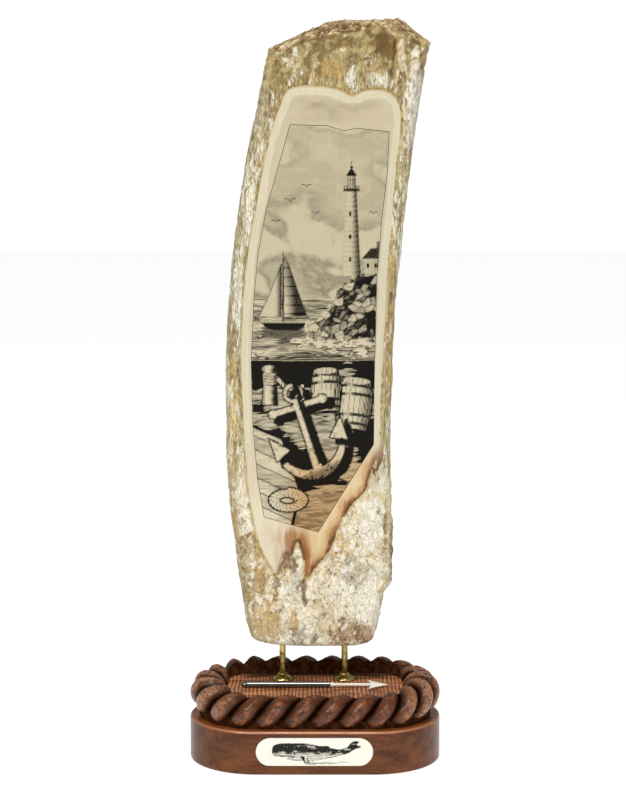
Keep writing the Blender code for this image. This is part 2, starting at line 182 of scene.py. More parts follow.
def outline_distance(x, z, outline):
    """Distance to a closed outline, negative inside it."""
    outline = np.asarray(outline, float)
    best = np.full(x.shape, 1e9)
    inside = np.zeros(x.shape, bool)
    for (ax, az), (bx, bz) in zip(outline, np.roll(outline, -1, 0)):
        ex, ez = bx - ax, bz - az
        t = np.clip(((x - ax) * ex + (z - az) * ez) / (ex * ex + ez * ez + 1e-12), 0, 1)
        best = np.minimum(best, np.hypot(x - ax - t * ex, z - az - t * ez))
        if ez:
            inside ^= ((az > z) != (bz > z)) & (x < ax + (z - az) * ex / ez)
    return np.where(inside, -best, best)


def line_distance(x, z, start, end, first=0.0, last=None):
    """Distance to a straight stroke whose half-width goes from first to last."""
    last = first if last is None else last
    ex, ez = end[0] - start[0], end[1] - start[1]
    t = np.clip(((x - start[0]) * ex + (z - start[1]) * ez) / (ex * ex + ez * ez + 1e-12), 0, 1)
    reach = np.hypot(x - start[0] - t * ex, z - start[1] - t * ez)
    return reach - first - (last - first) * t


def mound(x, z, px, pz, rx, rz, sharp=1.0):
    """1 at a place, falling off over these half-widths."""
    return np.exp(-sharp * (((x - px) / rx) ** 2 + ((z - pz) / rz) ** 2))


def eased(reach, radius):
    """How far a surface falls back at this reach from an edge rounded to the radius."""
    near = radius - np.minimum(reach, radius)
    return radius - np.sqrt(np.maximum(radius**2 - near**2, 0))


# ---------------------------------------------------------------- meshes


def grid_faces(rows, columns, round_rows=False, round_columns=False):
    i = np.arange(rows if round_rows else rows - 1)[:, None]
    j = np.arange(columns if round_columns else columns - 1)[None, :]
    i2, j2 = (i + 1) % rows, (j + 1) % columns
    quads = np.stack([i * columns + j, i * columns + j2, i2 * columns + j2, i2 * columns + j], -1)
    return quads.reshape(-1, 4).tolist()


def grid_border(rows, columns):
    """Points round the edge of a grid, in order."""
    border = [*range(columns), *[r * columns + columns - 1 for r in range(1, rows)]]
    border += [(rows - 1) * columns + c for c in range(columns - 2, -1, -1)]
    return border + [r * columns for r in range(rows - 2, 0, -1)]


def new_piece(name, points, faces, finish, smooth_angle=None):
    """A closed piece from points in millimetres, with its faces turned to point outwards."""
    points = np.asarray(points, float).reshape(-1, 3)
    centre = points.mean(0)
    volume = 0.0
    for sides in {len(f) for f in faces}:
        corners = points[np.array([f for f in faces if len(f) == sides])] - centre
        for k in range(1, sides - 1):
            turned = np.cross(corners[:, k], corners[:, k + 1])
            volume += np.einsum("ij,ij->", corners[:, 0], turned)
    if volume < 0:
        faces = [f[::-1] for f in faces]
    mesh = bpy.data.meshes.new(name)
    mesh.from_pydata((points * MM).tolist(), [], faces)
    mesh.validate()
    mesh.shade_smooth()
    if smooth_angle:
        mesh.set_sharp_from_angle(angle=math.radians(smooth_angle))
    mesh.materials.append(finish)
    obj = bpy.data.objects.new(name, mesh)
    bpy.context.scene.collection.objects.link(obj)
    return obj


def dress(piece, node):
    """Put the piece on the body, in place of a solid."""
    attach(piece, "root")
    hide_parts(node)


def mark(obj, name, values):
    """Keep a value or a colour for each point of the piece, for its material to read."""
    values = np.asarray(values, float)
    if values.shape[-1] == 3 and values.ndim > 1:
        values = np.concatenate([values.reshape(-1, 3), np.ones((values.size // 3, 1))], 1)
        layer = obj.data.attributes.new(name, "FLOAT_COLOR", "POINT")
        layer.data.foreach_set("color", values.astype(np.float32).ravel())
    else:
        layer = obj.data.attributes.new(name, "FLOAT", "POINT")
        layer.data.foreach_set("value", values.astype(np.float32).ravel())


def stacked(rings):
    """Points and faces of a solid skinned over rings, closed by a fan at both ends."""
    rings = np.asarray(rings, float)
    rows, columns = rings.shape[:2]
    points = np.concatenate([rings.reshape(-1, 3), [rings[0].mean(0), rings[-1].mean(0)]])
    faces = grid_faces(rows, columns, round_columns=True)
    low, high = rows * columns, rows * columns + 1
    top = (rows - 1) * columns
    for j in range(columns):
        k = (j + 1) % columns
        faces += [[k, j, low], [top + j, top + k, high]]
    return points, faces


def lathe_rings(profile, segments, centre, axis="z"):
    """Rings round Z or X from (radius, place along the axis)."""
    turns = 2 * np.pi * np.arange(segments) / segments
    rings = []
    for radius, along in profile:
        c, s = radius * np.cos(turns), radius * np.sin(turns)
        level = np.full(segments, float(along))
        ring = [c, s, level] if axis == "z" else [level, c, s]
        rings.append(np.stack(ring, -1) + np.asarray(centre))
    return np.array(rings)


# ---------------------------------------------------------------- material nodes


class Wire:
    """A node's output. Plain arithmetic on it places further nodes."""

    def __init__(self, nodes, socket):
        self.nodes, self.socket = nodes, socket

    def __add__(self, other):
        return self.nodes.math("ADD", self, other)

    def __sub__(self, other):
        return self.nodes.math("SUBTRACT", self, other)

    def __rsub__(self, other):
        return self.nodes.math("SUBTRACT", other, self)

    def __mul__(self, other):
        return self.nodes.math("MULTIPLY", self, other)

    def __truediv__(self, other):
        return self.nodes.math("DIVIDE", self, other)

    def __abs__(self):
        return self.nodes.math("ABSOLUTE", self)


class Nodes:
    """Short ways to place nodes in a tree."""

    def __init__(self, tree):
        self.tree = tree

    def plug(self, value, socket):
        """Link a wire to the socket, or give the socket a plain value."""
        if isinstance(value, Wire):
            self.tree.links.new(value.socket, socket)
        elif socket.type == "RGBA":
            socket.default_value = (*value, 1.0)
        else:
            socket.default_value = value

    def add(self, kind, sockets=None, **settings):
        node = self.tree.nodes.new(kind)
        for name, value in settings.items():
            setattr(node, name, value)
        for key, value in (sockets or {}).items():
            self.plug(value, node.inputs[key])
        return node

    def out(self, kind, sockets=None, output=0, **settings):
        return Wire(self, self.add(kind, sockets, **settings).outputs[output])

    def outputs(self, node):
        return {socket.name: Wire(self, socket) for socket in node.outputs}

    def give(self, **results):
        """End a group with these results."""
        self.add("NodeGroupOutput", results)
        return self.tree

    def math(self, operation, a, b=0.0, clamp=False):
        return self.out("ShaderNodeMath", {0: a, 1: b}, operation=operation, use_clamp=clamp)

    def vector(self, operation, a, b=(0, 0, 0), output=0, **more):
        return self.out("ShaderNodeVectorMath", {0: a, 1: b, **more}, output, operation=operation)

    def ramp(self, value, low, high, start=0.0, end=1.0):
        sockets = {"Value": value, "From Min": low, "From Max": high, "To Min": start,
                   "To Max": end}
        return self.out("ShaderNodeMapRange", sockets, "Result", interpolation_type="SMOOTHSTEP")

    def mix(self, share, a, b, kind="MIX"):
        """Colour a, or b where the share is 1."""
        sockets = {0: share, 6: a, 7: b}
        return self.out("ShaderNodeMix", sockets, 2, data_type="RGBA", blend_type=kind)

    def either(self, share, a, b):
        """Number a, or b where the share is 1."""
        return self.out("ShaderNodeMix", {0: share, 2: a, 3: b}, data_type="FLOAT")

    def place(self, scale=(1, 1, 1), turn=(0, 0, 0)):
        """Place on the object in millimetres, stretched by the scale."""
        where = self.out("ShaderNodeTexCoord", None, "Object")
        sockets = {"Vector": where, "Scale": [s / MM for s in scale], "Rotation": turn}
        return self.out("ShaderNodeMapping", sockets)

    def axis(self, number):
        """Place on the object along X, Y or Z, in millimetres."""
        return self.out("ShaderNodeSeparateXYZ", {0: self.place()}, number)

    def noise(self, where, scale, detail=3.0, rough=0.55, twist=0.0):
        sockets = {"Vector": where, "Scale": scale, "Detail": detail, "Roughness": rough,
                   "Distortion": twist}
        return self.out("ShaderNodeTexNoise", sockets, "Fac")

    def read(self, name, output="Fac"):
        return self.out("ShaderNodeAttribute", None, output, attribute_name=name)

    def group(self, tree, **sockets):
        return self.outputs(self.add("ShaderNodeGroup", sockets, node_tree=tree))


class Finish(Nodes):
    """A new material and the nodes that feed its shader."""

    def __init__(self, name, **sockets):
        self.material = bpy.data.materials.new(name)
        self.material.use_nodes = True
        super().__init__(self.material.node_tree)
        self.put(**{"Coat_Roughness": 0.12, **sockets})

    def put(self, **sockets):
        """Fill sockets of the shader, named with _ for each space."""
        shader = self.tree.nodes["Principled BSDF"]
        for name, value in sockets.items():
            self.plug(value, shader.inputs[name.replace("_", " ")])
        return self.material

    def bump(self, height, millimetres, strength=1.0):
        sockets = {"Height": height, "Distance": millimetres * MM, "Strength": strength}
        return self.out("ShaderNodeBump", sockets)


def new_group(name, inputs, outputs):
    """A group's nodes and inputs. A default says an input's kind, and None stands for a vector."""
    kinds = {float: "NodeSocketFloat", tuple: "NodeSocketColor", type(None): "NodeSocketVector"}
    tree = bpy.data.node_groups.new(name, "ShaderNodeTree")
    for label, value in inputs.items():
        socket = tree.interface.new_socket(label, in_out="INPUT", socket_type=kinds[type(value)])
        if value is not None:
            socket.default_value = value
    for label in outputs:
        kind = kinds[tuple if label == "Colour" else float]
        tree.interface.new_socket(label, in_out="OUTPUT", socket_type=kind)
    n = Nodes(tree)
    return n, n.outputs(n.add("NodeGroupInput"))


def grit_group():
    """Flaky mottling: brightness near 1, two patchy values, seams, dark specks, height."""
    n, given = new_group(
        "Flaky grit", {"Where": None, "Grain": 1.0, "Strength": 0.2, "Offset": 0.0},
        ("Brightness", "First", "Second", "Seam", "Speck", "Height"),
    )
    grain, strength = given["Grain"], given["Strength"]
    where = n.vector("ADD", given["Where"], given["Offset"])
    far = n.vector("ADD", where, (71.0, 13.0, 37.0))
    bend = n.out("ShaderNodeTexNoise", {"Vector": where, "Scale": grain, "Detail": 2.0}, "Color")
    bend = n.vector("MULTIPLY", n.vector("SUBTRACT", bend, (0.5, 0.5, 0.5)), (5.0, 5.0, 5.0))
    cells = {"Vector": n.vector("ADD", where, bend), "Scale": grain * 0.75}
    edge = n.out("ShaderNodeTexVoronoi", cells, "Distance", feature="DISTANCE_TO_EDGE")
    plate = n.out("ShaderNodeTexVoronoi", cells, "Color", feature="F1")
    plate = n.out("ShaderNodeSeparateXYZ", {0: plate}) - 0.5
    first = n.noise(where, grain, 3.0, 0.62, 0.3) + plate * 0.16
    second = n.noise(far, grain, 3.0, 0.62, 0.3)
    fine = n.noise(far, grain * 2.1, 2.0, 0.6)
    seam = n.ramp(edge, 0.07, 0.0)
    speck = n.ramp(fine, 0.60, 0.68)
    brightness = (fine - 0.5) * (strength * 3.2) + plate * (strength * 0.35) + 1.0
    height = first + fine * 0.8 - seam * 0.35 - speck * 0.3
    return n.give(Brightness=brightness, First=first, Second=second, Seam=seam, Speck=speck,
                  Height=height)


def ink_group():
    """Ink worked into a polished face: engraved lines where Stipple is 0, dots where it is 1."""
    n, given = new_group(
        "Engraved ink", {"Where": None, "Tone": 0.0, "Phase": 0.0, "Stipple": 0.0, "Outline": 9.0,
                         "Line Width": 0.26}, ("Ink",),
    )
    tone, where = given["Tone"], given["Where"]
    level = n.math("PINGPONG", given["Phase"], 0.5) * 2.0
    level = level + (n.noise(where, 1.4, 2.0) - 0.5) * 0.35
    lines = n.ramp(tone * 1.15 - level, -0.12, 0.12)
    dots = n.math("MAXIMUM", (n.noise(where, 1.7, 2.0, 0.7) - 0.5) * 1.6 + 1.0, 0.0)
    dots = n.math("MULTIPLY", tone, dots, clamp=True)
    border = n.ramp(given["Line Width"] * 0.5 - abs(given["Outline"]), -0.06, 0.06)
    return n.give(Ink=n.math("MAXIMUM", n.either(given["Stipple"], lines, dots), border))


def wood_group():
    """Grain of a dark open-pored wood that runs along X, with a cross figure on its flat face."""
    n, given = new_group(
        "Wood grain", {"Dark": (0.03, 0.01, 0.005, 1.0), "Light": (0.3, 0.12, 0.06, 1.0),
                       "Scale": 1.0, "Figure": 0.0, "Polish": 0.4, "Pores": 1.0},
        ("Colour", "Roughness", "Height"),
    )
    lean = (0, math.radians(7), 0)
    broad = n.vector("SCALE", n.place((0.03, 0.30, 0.30), lean), Scale=given["Scale"])
    bands = n.noise(broad, 1.0, 4.0, 0.6, 0.6)
    fibres = n.noise(n.place((0.10, 1.8, 1.8), lean), 1.0, 3.0, 0.6)
    pore = n.ramp(n.noise(n.place((0.22, 3.6, 3.6), lean), 1.0, 2.0, 0.6), 0.60, 0.68)
    sway = n.noise(n.place((0.10, 0.05, 0.05)), 1.0, 2.0, 0.5) * 1.8
    stripe = n.math("PINGPONG", n.axis(0) / 1.9 + sway, 0.5)
    faint = n.ramp(n.noise(n.place((0.12, 0.22, 0.22)), 1.0, 3.0), 0.35, 0.6, 0.35, 1.0)
    curl = (n.ramp(stripe, 0.14, 0.36) * faint - 0.5) * given["Figure"]
    tone = n.ramp(bands, 0.32, 0.68) * 0.6 + n.ramp(fibres, 0.30, 0.70) * 0.4
    tone = n.math("ADD", tone, curl * 0.8, clamp=True)
    colour = n.mix(tone, given["Dark"], given["Light"])
    dim = n.mix(pore * 0.75, (1, 1, 1), (0.25, 0.2, 0.18))
    return n.give(Colour=n.mix(given["Pores"], colour, dim, "MULTIPLY"),
                  Roughness=given["Polish"] + pore * 0.3 + (fibres - 0.5) * 0.25,
                  Height=fibres * 0.4 - pore)


GRIT, INK, WOOD = grit_group(), ink_group(), wood_group()


def new_wood(name, dark, light, coat, **sizes):
    """A wood's nodes, colour and height."""
    n = Finish(name, Specular_IOR_Level=0.2, Coat_Weight=coat)
    wood = n.group(WOOD, Dark=screen(*dark), Light=screen(*light), **sizes)
    n.put(Roughness=wood["Roughness"])
    return n, wood["Colour"], wood["Height"]


def plinth_finish():
    """Walnut with a glossier upper edge, painted lighter and more orange, and a painted highlight
    line along it.
    """
    n, colour, height = new_wood("Walnut plinth", (60, 30, 12), (124, 70, 32), 0.08, Scale=0.45,
                                 Polish=0.30, Pores=0.3)
    up = n.axis(2)
    # painted light: a lighter, more orange band along the upper edge
    rim = n.ramp(up, 20.0, 20.9)
    # painted highlight: a thin bright line along the rounded edge, strongest in the middle
    painted_highlight = n.ramp(up, 20.2, 20.8) * n.ramp(up, 21.48, 21.25)
    painted_highlight = painted_highlight * n.ramp(abs(n.axis(0)), 60.0, 20.0, 0.25, 1.0)
    colour = n.mix(rim * 0.7, colour, screen(158, 88, 42))
    colour = n.mix(painted_highlight * 0.55, colour, screen(222, 150, 104))
    return n.put(Base_Color=colour, Specular_IOR_Level=n.ramp(rim, 0.0, 1.0, 0.2, 0.9),
                 Normal=n.bump(height, 0.08, 0.8))


def floor_finish():
    """Figured walnut, with a painted shadow along the far side of the tray."""
    n, colour, height = new_wood("Figured walnut floor", (112, 64, 38), (228, 156, 104), 0.1,
                                 Figure=1.0, Polish=0.5, Pores=0.4)
    sideways = abs(n.axis(0))
    # painted shadow on the floor in front of the rope's inner wall at the back
    painted_shadow = n.axis(1) + n.ramp(sideways, 18.0, 42.0) * 6.0
    painted_shadow = n.ramp(painted_shadow, 14.5, 18.5) * n.ramp(sideways, 43.0, 30.0)
    return n.put(Base_Color=n.mix(painted_shadow * 0.85, colour, screen(50, 38, 24)),
                 Normal=n.bump(height, 0.08, 0.8))


def rope_finish():
    """Carved walnut with worn ridges, painted shade in the grooves, on the inner side and under the
    strands, and painted highlights on its ends.
    """
    n, colour, height = new_wood("Carved walnut rope", (38, 18, 7), (114, 60, 26), 0.15,
                                 Polish=0.32, Pores=0.6)
    cuts = n.noise(n.place((0.9, 0.9, 0.9)), 1.0, 3.0, 0.6)
    shaded = n.read("shaded")
    lit = 1.0 - shaded
    full = n.math("MAXIMUM", n.read("full"), shaded)
    worn = n.ramp(full, 0.80, 1.0) * n.ramp(n.noise(n.place(), 0.28, 3.0, 0.6), 0.42, 0.66)
    # painted highlight, pale and speckled, on both ends of the rope
    end_highlight = n.ramp(full, 0.5, 0.95) * n.ramp(cuts, 0.36, 0.62)
    end_highlight = end_highlight * n.ramp(abs(n.axis(0)), 38.0, 54.0) * lit
    colour = n.mix(worn * 0.7, colour, screen(158, 98, 60))
    # painted shade, near black, in the grooves between the strands
    colour = n.mix(n.ramp(full, 0.84, 0.16, 0.0, 0.95), colour, screen(16, 8, 4))
    # painted shade on the inner side at the back and under the strands
    colour = n.mix(shaded * 0.72, colour, screen(34, 19, 10))
    colour = n.mix(end_highlight * 0.8, colour, screen(186, 138, 104))
    shine = n.ramp(full, 0.25, 0.8) * lit
    return n.put(Base_Color=colour, Specular_IOR_Level=shine * 0.3, Coat_Weight=shine * 0.15,
                 Normal=n.bump(height + cuts, 0.16, 0.8))


def brass_finish():
    n = Finish("Aged brass", Metallic=1.0)
    cloud = n.noise(n.place(), 0.35, 4.0, 0.6)
    turning = n.noise(n.place((0.15, 0.15, 6.0)), 1.0, 2.0)
    colour = n.mix(n.ramp(cloud, 0.38, 0.66), screen(216, 196, 118), screen(118, 100, 46))
    return n.put(Base_Color=colour, Roughness=cloud * 0.25 + 0.15,
                 Normal=n.bump(turning, 0.02, 0.5))


def bark_finish():
    """Rough outer bark of an old tusk. Broad tints and patch masks come with the mesh."""
    n = Finish("Old tusk bark", Roughness=0.7, Specular_IOR_Level=0.3)
    grainy = n.read("grainy")
    streaks = n.group(GRIT, Where=n.place((1.0, 1.0, 0.24)), Grain=0.58, Strength=0.85)
    grains = n.group(GRIT, Where=n.place((0.9, 0.9, 0.7)), Grain=0.42, Strength=0.6, Offset=40.0)
    grit = {name: n.either(grainy, streaks[name], grains[name]) for name in streaks}
    pale = n.read("pale") + (grit["First"] - 0.5) * 2.4
    dark = n.read("dark") + (grit["Second"] - 0.5) * 2.6
    seam = grit["Seam"] * n.ramp(grainy, 0.0, 1.0, 0.42, 0.10)
    colour = n.vector("SCALE", n.read("tint", "Color"), Scale=grit["Brightness"])
    colour = n.mix(n.ramp(pale, 0.40, 0.68, 0.0, 0.68), colour, screen(238, 232, 214))
    colour = n.mix(n.ramp(dark, 0.42, 0.68, 0.0, 0.70), colour, screen(112, 86, 48))
    colour = n.mix(seam, colour, screen(118, 94, 58))
    colour = n.mix(grit["Speck"] * 0.5, colour, screen(104, 78, 44))
    return n.put(Base_Color=colour, Normal=n.bump(grit["Height"], 0.6))


def engrave(n, ground, ink_colour, share, roughness, depth, strength):
    """Work ink into a polished ground. Its tones and line fields come with the mesh."""
    ink = n.group(INK, Where=n.place(), Tone=n.read("tone"), Phase=n.read("phase"),
                  Stipple=n.read("stipple"), Outline=n.read("outline"))["Ink"]
    return n.put(Base_Color=n.mix(ink * share, ground, ink_colour),
                 Specular_IOR_Level=n.ramp(ink, 0.0, 1.0, 0.3, 0.03),
                 Roughness=n.ramp(ink, 0.0, 1.0, *roughness),
                 Normal=n.bump(1.0 - ink, depth, strength))


def face_finish():
    """Polished ivory, whose broad colours come with the mesh."""
    n = Finish("Engraved ivory")
    streak = n.noise(n.place((0.5, 0.5, 0.03)), 1.0, 3.0, 0.5)
    cloud = n.noise(n.place(), 0.12, 3.0)
    ground = n.read("ground", "Color")
    ground = n.mix(n.ramp(streak, 0.35, 0.65, 0.0, 0.10), ground, screen(168, 150, 112))
    ground = n.mix(n.ramp(cloud, 0.45, 0.75, 0.0, 0.10), ground, screen(226, 214, 186))
    return engrave(n, ground, screen(14, 13, 11), 0.99, (0.32, 0.5), 0.03, 0.5)


def plaque_finish():
    n = Finish("White bone")
    fine = n.ramp(n.noise(n.place((0.1, 1.0, 1.2)), 1.0, 3.0), 0.3, 0.7, 0.0, 0.5)
    ground = n.mix(fine, screen(242, 239, 225), screen(232, 227, 206))
    return engrave(n, ground, screen(18, 18, 16), 0.98, (0.26, 0.42), 0.02, 0.4)


def bone_finish():
    n = Finish("Turned bone", Roughness=0.35, Coat_Weight=0.1)
    fine = n.noise(n.place((0.15, 2.0, 2.0)), 1.0, 3.0)
    colour = n.mix(n.ramp(fine, 0.35, 0.7), screen(254, 250, 240), screen(240, 230, 208))
    return n.put(Base_Color=colour, Normal=n.bump(fine, 0.02, 0.4))


def ebony_finish():
    n = Finish("Polished ebony", Specular_IOR_Level=0.7, Coat_Weight=1.0, Coat_IOR=2.0,
               Coat_Roughness=0.05)
    fine = n.noise(n.place((0.1, 2.5, 2.5)), 1.0, 3.0)
    colour = n.mix(n.ramp(fine, 0.4, 0.75), screen(16, 13, 12), screen(38, 29, 24))
    return n.put(Base_Color=colour, Roughness=n.ramp(fine, 0.2, 0.8, 0.08, 0.16),
                 Normal=n.bump(fine, 0.005, 0.2))


# ---------------------------------------------------------------- base


def outline_point(s):
    """Point and outward direction on the base's outline, s on from the middle of the front."""
    s = np.asarray(s, float) % OUTLINE
    half_turn = math.pi * HALF_DEPTH
    marks = np.cumsum([STRAIGHT, half_turn, 2 * STRAIGHT, half_turn])
    right = (s - marks[0]) / HALF_DEPTH - math.pi / 2
    left = (s - marks[2]) / HALF_DEPTH + math.pi / 2
    zones = [s < marks[0], s < marks[1], s < marks[2], s < marks[3]]
    nx = np.select(zones, [0 * s, np.cos(right), 0 * s, np.cos(left)], 0.0)
    ny = np.select(zones, [0 * s - 1, np.sin(right), 0 * s + 1, np.sin(left)], -1.0)
    middle = np.select(
        zones, [s, STRAIGHT + 0 * s, STRAIGHT - (s - marks[1]), -STRAIGHT + 0 * s],
        s - marks[3] - STRAIGHT,
    )
    return middle + HALF_DEPTH * nx, HALF_DEPTH * ny, nx, ny


def outside_tray(x, y):
    """Distance to the tray's outline, negative inside it."""
    dx = np.abs(x) - (TRAY_HALF[0] - TRAY_CORNER)
    dy = np.abs(y) - (TRAY_HALF[1] - TRAY_CORNER)
    reach = np.hypot(np.maximum(dx, 0), np.maximum(dy, 0))
    return reach + np.minimum(np.maximum(dx, dy), 0) - TRAY_CORNER


def border_width(s):
    """Distance from the outline, straight in, to the edge of the tray."""
    x, y, nx, ny = outline_point(s)
    near, far = np.zeros_like(x), np.full_like(x, HALF_DEPTH)
    for _ in range(30):
        middle = (near + far) / 2
        out = outside_tray(x - nx * middle, y - ny * middle) > 0
        near, far = np.where(out, middle, near), np.where(out, far, middle)
    return far


def strand_position(turns):
    """Place along the outline: the strands lie closer along the sides than round the ends."""
    share = turns / STRANDS
    return OUTLINE * (share - SPACING_DRIFT * np.sin(4 * np.pi * share) / (4 * np.pi))


def rope_levels(facing):
    """Middle and half-height of the border where its outline faces this much to the front."""
    front, back = np.maximum(facing, 0) ** 2, np.maximum(-facing, 0) ** 4
    crest = CREST["ends"] + front * (CREST["front"] - CREST["ends"])
    crest = crest + back * (CREST["back"] - CREST["ends"])
    under = UNDERSIDE["ends"] + front * (UNDERSIDE["front"] - UNDERSIDE["ends"])
    return (crest + under) / 2, (crest - under) / 2


def rope_section(angle, facing):
    """Inset from the outline, and height, of the border this far round its section."""
    middle, half = rope_levels(facing)
    turn = np.radians(angle)
    # below its middle the border keeps its width for longer
    outward = np.cos(turn)
    outward = np.where(turn < 0, np.abs(outward) ** 0.6, outward)
    return ROPE_WIDTH / 2 * (1 - outward), middle + half * np.sin(turn)


def rope_end_angle(facing, width):
    """How far round the border meets the tray's floor or its edge."""
    low, high = np.full_like(width, ROPE_CREST), np.full_like(width, 180.0)
    above = rope_section(ROPE_CREST, facing)[1] > FLOOR
    for _ in range(30):
        angle = (low + high) / 2
        inset, height = rope_section(angle, facing)
        past = (inset > width) | (above & (height < FLOOR))
        low, high = np.where(past, low, angle), np.where(past, angle, high)
    return low


def rope_ring():
    """The border before its strands are cut, as rows of points round it.

    Each row also keeps how far along and how far round it lies, in turns, and the way to the
    middle of the section. Its inner side dips under the tray's floor.
    """
    per_strand, outer, inner = 24, 30, 12
    turns = np.arange(STRANDS * per_strand) / per_strand
    rows = {"points": [], "along": [], "around": [], "inward": [], "shaded": []}

    def turned(angle):
        return turns + TWIST * (angle - ROPE_CREST) / 360.0 + TWIST_START

    def place(angle):
        return strand_position(turned(angle))

    def keep(angle, inset, height, loose, shaded=0.0):
        x, y, nx, ny = outline_point(place(angle))
        level = height + 0 * x
        off = inset - ROPE_WIDTH / 2
        inward = np.stack([nx * off, ny * off, rope_levels(-ny)[0] - level], -1)
        plain = 0.35 + 0.6 * smooth(0.0, 0.8, ny)
        shallow = 1 - plain * smooth(96, 125, angle + 0 * x)
        rows["points"].append(np.stack([x - nx * inset, y - ny * inset, level], -1))
        rows["along"].append(turned(angle) / STRANDS)
        rows["around"].append(angle / 360.0 + 0 * x)
        rows["inward"].append(inward * shallow[:, None] * loose)
        # painted shade: the inner side at the back and the underside of the strands are marked as
        # shaded, for the material to darken
        under = smooth(-44, ROPE_FOOT, angle)
        rows["shaded"].append(np.maximum(shaded * smooth(0.2, 0.9, ny), under))

    def section(angle):
        return rope_section(angle, -outline_point(place(angle))[3])

    keep(ROPE_FOOT, section(ROPE_FOOT)[0] + 0.3, PLINTH_HEIGHT - 1.0, 0.0)
    for angle in np.linspace(ROPE_FOOT, ROPE_CREST, outer + 1):
        inset, height = section(angle)
        keep(angle, inset, height, 1.0)
    crest = place(ROPE_CREST)
    last = rope_end_angle(-outline_point(crest)[3], border_width(crest))
    for k in range(1, inner + 1):
        angle = ROPE_CREST + (last - ROPE_CREST) * k / inner
        inset, height = section(angle)
        keep(angle, np.minimum(inset, border_width(place(angle))), height, 1.0, k / inner)
    inset = border_width(place(last)) + 0.35
    for height in (FLOOR - 0.4, PLINTH_HEIGHT - 1.0):
        keep(last, inset, height, 0.0, 1.0)
    return {name: np.array(values) for name, values in rows.items()}


def strand_tree():
    """Cuts the twisted strands of a rope into a plain ring."""
    tree = bpy.data.node_groups.new("Rope strands", "GeometryNodeTree")
    sockets = [("Ring", "Geometry"), *((label, "Float") for label in STRAND_SIZES),
               ("Material", "Material")]
    for label, kind in sockets:
        tree.interface.new_socket(label, in_out="INPUT", socket_type="NodeSocket" + kind)
    tree.interface.new_socket("Rope", in_out="OUTPUT", socket_type="NodeSocketGeometry")
    n = Nodes(tree)
    given = n.outputs(n.add("NodeGroupInput"))

    def stored(name, kind="FLOAT"):
        return n.out("GeometryNodeInputNamedAttribute", {"Name": name}, "Attribute",
                     data_type=kind)

    inward = stored("inward", "FLOAT_VECTOR")
    turns = stored("along") * given["Strands"] - (stored("around") - 0.25) * given["Twist"]
    wave = abs(n.math("SINE", (turns - given["Start"]) * math.pi))
    full = n.math("POWER", wave, given["Roundness"])
    pull = n.vector("SCALE", inward, Scale=(1.0 - full) * given["Groove"])
    loose = n.math("GREATER_THAN", n.vector("LENGTH", inward, output="Value"), 1e-5)
    marks = {"Vector": n.out("GeometryNodeInputPosition"), "W": given["Seed"], "Detail": 2.0,
             "Scale": n.math("DIVIDE", 1.0, given["Knife Size"])}
    marks = n.out("ShaderNodeTexNoise", marks, noise_dimensions="4D")
    chips = (marks - 0.5) * (loose * full) * given["Knife Marks"]
    offset = n.vector("ADD", pull, n.out("ShaderNodeCombineXYZ", {"Z": chips}))
    rope = n.out("GeometryNodeSetPosition", {"Geometry": given["Ring"], "Offset": offset})
    rope = n.out("GeometryNodeStoreNamedAttribute",
                 {"Geometry": rope, "Name": "full", "Value": full},
                 data_type="FLOAT", domain="POINT")
    rope = n.out("GeometryNodeRealizeInstances", {"Geometry": rope})
    return n.give(Rope=n.out("GeometryNodeSetMaterial",
                             {"Geometry": rope, "Material": given["Material"]}))


def make_rope(finish):
    """Twisted border, its strands cut by a node tree into the plain ring."""
    ring = rope_ring()
    count, columns = ring["points"].shape[:2]
    base = new_piece("rope_ring", ring["points"], grid_faces(count, columns, True, True), finish)
    for name in ("along", "around", "shaded"):
        mark(base, name, ring[name])
    layer = base.data.attributes.new("inward", "FLOAT_VECTOR", "POINT")
    layer.data.foreach_set("vector", (ring["inward"] * MM).astype(np.float32).ravel())
    sizes = {**STRAND_SIZES, "Material": finish}
    cutter = base.modifiers.new("Strands", "NODES")
    cutter.node_group = strand_tree()
    for item in cutter.node_group.interface.items_tree:
        if item.in_out == "INPUT" and item.name in sizes:
            cutter[item.identifier] = sizes[item.name]
    made = bpy.data.meshes.new_from_object(
        base.evaluated_get(bpy.context.evaluated_depsgraph_get())
    )
    base.modifiers.remove(cutter)
    bpy.data.objects.remove(base)
    made.name = "rope_border"
    made.set_sharp_from_angle(angle=math.radians(60))
    rope = bpy.data.objects.new("rope_border", made)
    bpy.context.scene.collection.objects.link(rope)
    dress(rope, "carved_base")


def tray_outline(steps):
    points = []
    for sx, sy, start in ((1, -1, -90), (1, 1, 0), (-1, 1, 90), (-1, -1, 180)):
        cx, cy = sx * (TRAY_HALF[0] - TRAY_CORNER), sy * (TRAY_HALF[1] - TRAY_CORNER)
        for k in range(steps):
            angle = math.radians(start + 90 * k / (steps - 1))
            points.append((cx + TRAY_CORNER * math.cos(angle), cy + TRAY_CORNER * math.sin(angle)))
    return np.array(points)


def make_plinth(finish):
    """Block with half-round ends and eased edges."""
    x, y, nx, ny = outline_point(np.arange(240) / 240 * OUTLINE)
    shoulder = PLINTH_HEIGHT - PLINTH_EDGE
    profile = [(0.5, 0.0), (0.15, 0.15), (0.0, 0.5)]
    profile += [(0.0, h) for h in np.linspace(2.0, shoulder, 8)]
    for turn in np.radians((18, 36, 54, 72, 90)):
        inset, lift = PLINTH_EDGE * (1 - math.cos(turn)), PLINTH_EDGE * math.sin(turn)
        profile.append((inset, shoulder + lift))
    profile += [(2.5, PLINTH_HEIGHT), (9.0, PLINTH_HEIGHT)]
    rings = [np.stack([x - nx * inset, y - ny * inset, np.full_like(x, height)], -1)
             for inset, height in profile]
    dress(new_piece("plinth", *stacked(rings), finish, 40), "carved_base")


